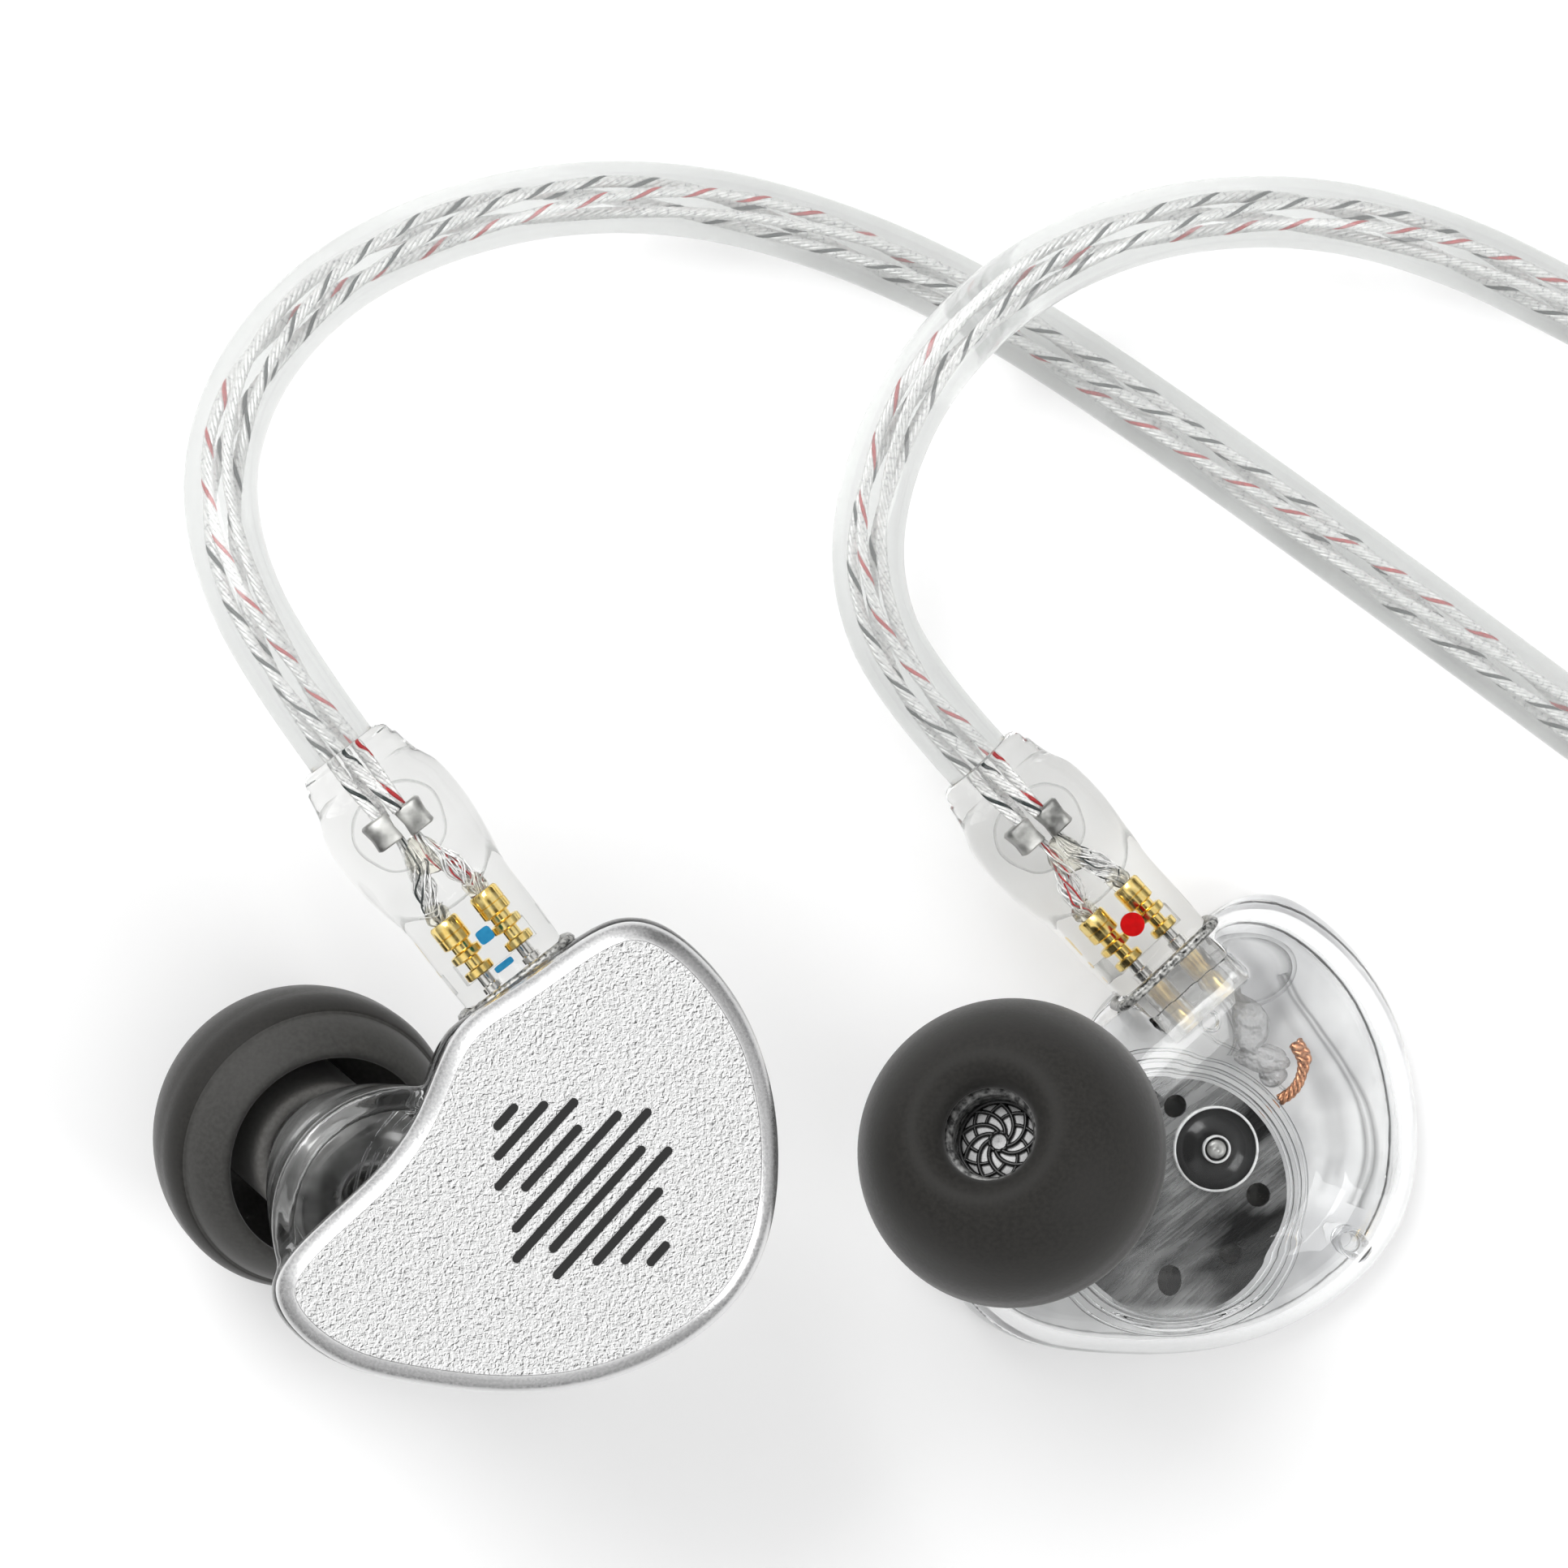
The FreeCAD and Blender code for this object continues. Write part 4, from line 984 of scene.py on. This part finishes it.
def seat_rings(side):
    """Fine clear rings round the driver."""
    hoops = [hoop(5.24, 5.46, 0.10), hoop(5.62, 5.30, 0.09), hoop(6.02, 5.02, 0.08)]
    place = EARPIECE[side] @ Matrix.Translation((*DRIVER_CENTRE, 0))
    return outward(merged(f"{side}_seat_rings", hoops, place, "acrylic"))


def vent_tubes(side):
    """Two short clear tubes that stand in the shell."""
    tubes = []
    for x, y, low, high, outer, bore in ((1.4, 4.65, 4.9, 5.7, 0.46, 0.30),
                                         (6.7, -5.3, 2.3, 4.0, 0.62, 0.42)):
        tubes.append(moved(revolve([(bore, low), (outer, low), (outer, high), (bore, high)], 32), (x, y, 0)))
    return outward(merged(f"{side}_vent_tubes", tubes, EARPIECE[side], "acrylic"))


def cavity_walls(side):
    """Faint walls inside the resin, and the oval boss by the socket."""
    walls = [ribbon([(5.0, 6.3), (5.5, 5.2), (6.3, 3.9), (7.2, 2.3), (7.9, 0.6), (8.1, -1.0), (7.9, -2.4),
                     (7.2, -3.9)], 2.2, 4.7, 0.07),
             ribbon([(1.0, 6.6), (1.9, 5.9), (2.5, 4.9), (2.6, 3.9), (2.3, 3.2)], 2.4, 5.0, 0.05),
             ribbon([(-1.6, 5.3), (0.2, 4.7), (1.9, 3.9), (3.4, 2.8), (4.6, 1.4)], 2.4, 4.9, 0.05)]
    boss = revolve([(1.25, 2.6), (1.5, 3.2), (1.6, 3.9), (1.52, 4.4), (1.3, 4.75), (0.95, 4.95),
                    (0.5, 5.05), (0.2, 5.06), (0.2, 5.0), (0.9, 4.85), (1.4, 4.3), (1.15, 2.6)], 64)
    walls.append(moved(boss, (3.4, 6.55, 0), (1.3, 0.9, 1)))
    return outward(merged(f"{side}_cavity_walls", walls, EARPIECE[side], "wall"))


def frosted_glue(side):
    """Three lumps of cloudy glue that run into each other."""
    lumps = (((3.3, 4.2, 3.9), (0.9, 1.1, 0.6)), ((3.9, 2.9, 3.7), (1.1, 0.8, 0.6)),
             ((4.3, 2.1, 3.5), (0.7, 0.6, 0.5)))
    blobs = [bumpy_blob(*lump, seed) for seed, lump in enumerate(lumps, 5)]
    return merged(f"{side}_frosted_glue", blobs, EARPIECE[side], "frost")


def braided_lead(side):
    """Four copper strands wound round each other, from the driver towards the socket."""
    line = evenly(spline_through([(5.2, 3.5, 4.6), (5.55, 2.7, 4.6), (5.35, 1.9, 4.5), (4.9, 1.35, 4.3),
                                  (4.3, 1.0, 4.1)]), 0.06)
    path = path_frames(line)
    parts = [sweep(wound(path, 1.3, k * math.pi / 2, 0.14), 0.13, 8) for k in range(4)]
    return merged(f"{side}_braided_lead", parts, EARPIECE[side], "copper")


def neck_painted_reflection(side):
    """Dark grey body that fills the shell's neck round the sound bore: a painted dark reflection in the clear
    neck.
    """
    sleeve = [(0.7, -7.0), (1.4, -7.5), (2.6, -7.9), (3.6, -7.6), (3.9, -7.0), (3.35, -5.8), (2.9, -4.6),
              (2.55, -3.4), (0.7, -3.4)]
    return add_revolved(f"{side}_neck_painted_reflection", sleeve, NOZZLE[side], "neck", 64)


def vent_port(side):
    """Black damper in a pale ring with a hollow grey stub."""
    place = EARPIECE[side] @ Matrix.Translation((*PORT_CENTRE, DRIVER_TOP))
    inner_r = PORT_R - 0.1
    turned = (("disc", "black", 64, [(0.001, 0.0), (inner_r, 0.0), (inner_r, 0.16), (0.5, 0.14),
                                     (0.001, 0.14)]),
              ("ring", "white", 96, [(inner_r, 0.0), (PORT_R, 0.0), (PORT_R, 0.28), (PORT_R - 0.04, 0.35),
                                     (inner_r, 0.30)]),
              ("stub", "white", 48, [(0.52, 0.1), (0.61, 0.1), (0.61, 0.48), (0.565, 0.55), (0.52, 0.48)]),
              ("core", "crimp", 48, [(0.001, 0.1), (0.40, 0.1), (0.40, 0.42), (0.001, 0.44)]))
    return [add_revolved(f"{side}_port_{name}", profile, place, key, segments)
            for name, key, segments, profile in turned]


# ---- plugs --------------------------------------------------------------------------------
def plug_body(side):
    """Solid clear moulding, flat sided near the pins."""
    flatter = [row if row[0] > 5 else (*row[:3], 7.0) for row in PLUG_SECTIONS]
    rows = spline_through([row[1:] for row in flatter])
    at = spline_through([(row[0], 0, 0) for row in PLUG_SECTIONS])[:, 0]
    sections = [(at[0], *rows[0] * (0.93, 0.93, 1)), (at[0] + 0.12, *rows[0])]
    sections += [(d, *row) for d, row in zip(at[3:], rows[3:])]
    sections = [row for row in sections if row[0] < 11.3]
    sections += [(at[-1] + back, *rows[-1] * (size, size, 1)) for back, size in
                 ((-0.6, 1.0), (-0.3, 0.98), (-0.1, 0.93), (0.0, 0.86), (0.03, 0.78))]
    faces = capped_grid(len(sections), 48)
    return outward(add_mesh(f"{side}_plug_body", loft(sections), faces, PLUG[side], "plug"))


def plug_cap(side):
    """Boundaries of the parts moulded first: a round cap, and a lump over the crimps."""
    rows = [(4.0, 0.3, 0.3, 2.0), (4.12, 1.0, 0.9, 2.0), (4.45, 1.65, 1.45, 2.1), (5.0, 2.1, 1.85, 2.2),
            (5.9, 2.4, 2.15, 2.3), (7.2, 2.55, 2.35, 2.3), (8.8, 2.5, 2.35, 2.2), (9.7, 2.25, 2.15, 2.1),
            (10.2, 1.9, 1.85, 2.0), (10.4, 1.6, 1.6, 2.0)]
    lump = [(6.3, 0.2, 0.2, 2.0), (6.4, 0.75, 0.7, 2.0), (6.8, 1.25, 1.1, 2.1), (7.6, 1.6, 1.35, 2.2),
            (8.4, 1.65, 1.4, 2.2), (9.0, 1.35, 1.2, 2.1), (9.4, 0.8, 0.75, 2.0), (9.5, 0.3, 0.3, 2.0)]
    parts = []
    for boundary in (rows, lump):
        smooth = spline_through(boundary, 6)
        parts.append((loft(smooth), ring_grid(len(smooth), 48)))
    return merged(f"{side}_plug_cap", parts, PLUG[side], "cap")


def contact_carrier(side):
    """Faint block that holds the two contacts."""
    block = loft([(d, 1.70, 0.95, 8.0) for d in (1.0, 2.0)])
    return outward(add_mesh(f"{side}_contact_carrier", block, capped_grid(2, 48), PLUG[side], "cap"))


def socket_seam(side):
    """Bead of glue where the plug meets the shell."""
    edge = superellipse(0.02, 2.72, 2.0, 5.0, 96)
    return add_mesh(f"{side}_socket_seam", *sweep(edge + edge[:1], 0.23, 8), PLUG[side], "seam")


def channel_mark(side):
    """One red dot on the right; a short blue block and bar on the left."""
    if side == "right":
        plans, low, key = [((0.0, 2.35), 0.52, 0.52, 2.0)], 1.2, "red_mark"
    else:
        plans, low, key = [((0.0, 2.3), 0.34, 0.31, 5.0), ((0.12, 0.85), 0.44, 0.14, 6.0)], -1.45, "blue_mark"
    parts = [([(x + px, y, z + pz) for y in (low, low + 0.25)
               for px, pz, _ in superellipse(0, half_width, half_length, power, 32)], capped_grid(2, 32))
             for (x, z), half_width, half_length, power in plans]
    return outward(merged(f"{side}_channel_mark", parts, PLUG[side], key, smooth=False))


def plug_contacts(side):
    """Gold barrels with two flanges, and silver pins."""
    barrel = [(0.001, 1.05), (0.56, 1.05), (0.62, 1.10), (0.62, 1.40), (0.56, 1.45), (0.33, 1.48),
              (0.33, 1.86), (0.58, 1.90), (0.66, 1.95), (0.66, 2.25), (0.60, 2.30), (0.42, 2.34),
              (0.42, 2.60), (0.58, 2.64), (0.64, 2.70), (0.64, 3.10), (0.61, 3.13), (0.64, 3.16),
              (0.64, 3.70), (0.58, 3.80), (0.44, 3.80), (0.40, 3.5), (0.001, 3.5)]
    pin = [(0.001, -2.4), (0.22, -2.4), (0.30, -2.15), (0.30, 0.32), (0.40, 0.36), (0.40, 0.56),
           (0.30, 0.60), (0.30, 1.05), (0.001, 1.05)]
    pieces = []
    for name, profile, key in (("barrels", barrel, "gold"), ("pins", pin, "pin")):
        parts = [moved(revolve(profile, 48), (sign * PIN_PITCH / 2, 0, 0)) for sign in (-1, 1)]
        pieces.append(split_edges(outward(merged(f"{side}_contact_{name}", parts, PLUG[side], key)), 32))
    return pieces


def frayed_wires(side, count=28, loose_from=24):
    """Fine bare wires that fray out of the crimps and gather at each barrel, with a few loose ends."""
    rng = np.random.default_rng(11 if side == "left" else 12)
    centre = [(0.30, 7.6), (0.32, 6.7), (0.45, 6.0), (0.70, 5.3), (0.92, 4.7), (1.0, 4.2), (1.0, 3.75)]
    reaches = (0.35, 0.7, 1.0, 1.15, 1.0, 0.7, 0.35)
    parts = []
    for sign in (-1, 1):
        thread = RED if (sign > 0) == (side == "right") else DARK
        for k in range(count):
            a = rng.uniform(0, 2 * math.pi)
            spread = rng.uniform(0.10, 0.42)
            route = []
            for j, ((x, z), reach) in enumerate(zip(centre, reaches)):
                turn = a + 0.9 * j + rng.uniform(-0.7, 0.7)
                route.append((sign * x + spread * reach * math.cos(turn), spread * reach * math.sin(turn),
                              z + rng.uniform(-0.12, 0.12)))
            if k >= loose_from:
                route[-1] = (sign * 1.0 + 0.6 * math.cos(a), 0.6 * math.sin(a), 4.5)
            wire = sweep(evenly(spline_through(route), 0.12), 0.036, 5)
            parts.append((*wire, thread if k % 9 == 0 else 0))
    return merged(f"{side}_frayed_wires", parts, PLUG[side], "silver", *THREADS)


def solder_glue(side):
    """A lump of glue over each barrel's end and one between the crimps."""
    blobs = [bumpy_blob((sign * 0.98, 0.0, 4.15), (0.52, 0.5, 0.55), 20 + sign) for sign in (-1, 1)]
    blobs.append(bumpy_blob((0.0, 0.0, 6.4), (0.62, 0.5, 0.9), 31))
    return merged(f"{side}_solder_glue", blobs, PLUG[side], "glue")


def plug_crimp(side):
    """Two folded metal sleeves beside each other."""
    sections = ((0, 0.42, 0.44), (0.07, 0.50, 0.52), (0.55, 0.46, 0.50), (1.1, 0.52, 0.54),
                (1.2, 0.44, 0.46))
    parts = []
    for sign, low in ((-1, 7.35), (1, 7.55)):
        verts = loft([(low + d, w, h, 5.0) for d, w, h in sections], 32)
        parts.append(moved((verts, capped_grid(len(sections), 32)), (sign * 0.62, 0, 0)))
    return outward(merged(f"{side}_crimps", parts, PLUG[side], "crimp"))


def install(side, plan):
    """Make each row's piece, or list of pieces, and bind it in place of one of the side's nodes."""
    for make, body, stands_for, slot in plan:
        made = make(side)
        for piece in made if isinstance(made, list) else [made]:
            bind(piece, body, slot, f"{side}_{stands_for}")


def plugs():
    for side in SIDES:
        marker = "marker_red" if side == "right" else "marker_blue"
        install(side, (
            (frayed_wires, "cable", "plug_wires", "strand_silver"),
            (solder_glue, "cable", "plug_wires", "strand_silver"),
            (plug_contacts, "cable", "plug_contacts", "contact_gold"),
            (contact_carrier, "cable", "plug_carrier", "plug_clear"),
            (socket_seam, f"{side}_earpiece", "shell", "shell_resin"),
            (plug_body, "cable", "plug_housing", "plug_clear"),
            (channel_mark, "cable", "channel_marker", marker),
            (plug_cap, "cable", "plug_housing", "plug_clear"),
            (plug_crimp, "cable", "plug_crimp", "crimp_steel"),
        ))


def earpieces():
    for side in SIDES:
        earpiece = f"{side}_earpiece"
        install(side, (
            (seat_rings, earpiece, "driver_seat", "seat_acrylic"),
            (vent_tubes, earpiece, "shell", "shell_resin"),
            (cavity_walls, earpiece, "shell", "shell_resin"),
            (frosted_glue, earpiece, "shell", "shell_resin"),
            (braided_lead, earpiece, "driver_wires", "coil_copper"),
            (neck_painted_reflection, earpiece, "shell", "shell_resin"),
            (faceplate, earpiece, "faceplate", "faceplate_metal"),
            (motif, earpiece, "faceplate", "faceplate_metal"),
            (shell, earpiece, "shell", "shell_resin"),
            (vent_port, earpiece, "vent_port", "port_black"),
            (nozzle_filter, earpiece, "nozzle_filter", "filter_steel"),
            (ear_tip, f"{side}_tip", "ear_tip", "tip_silicone"),
        ))


# ---- finishes for the nodes that stay as the part has them --------------------------------
CARRIED = dict(
    driver_frame="steel", magnet_cup="dark_steel", diaphragm="film", voice_coil="copper",
    socket_body="socket", socket_contacts="gold",
)
SHARED = dict(
    chin_slider="plug", y_splitter="turned", jack_relief="rubber", jack_housing="turned",
    jack_sleeve="gold", jack_insulators="black", jack_ring="gold", jack_tip="gold",
)


def finish_node(name, key):
    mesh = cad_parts[name].data
    mesh.materials.clear()
    mesh.materials.append(MATERIALS[key])


def carried_nodes():
    for name, key in SHARED.items():
        finish_node(name, key)
    for name, key in CARRIED.items():
        for side in SIDES:
            finish_node(f"{side}_{name}", key)


# ---- the whole scene ----------------------------------------------------------------------
camera()
studio()
cables()
coil_straps()
hooks()
plugs()
earpieces()
carried_nodes()
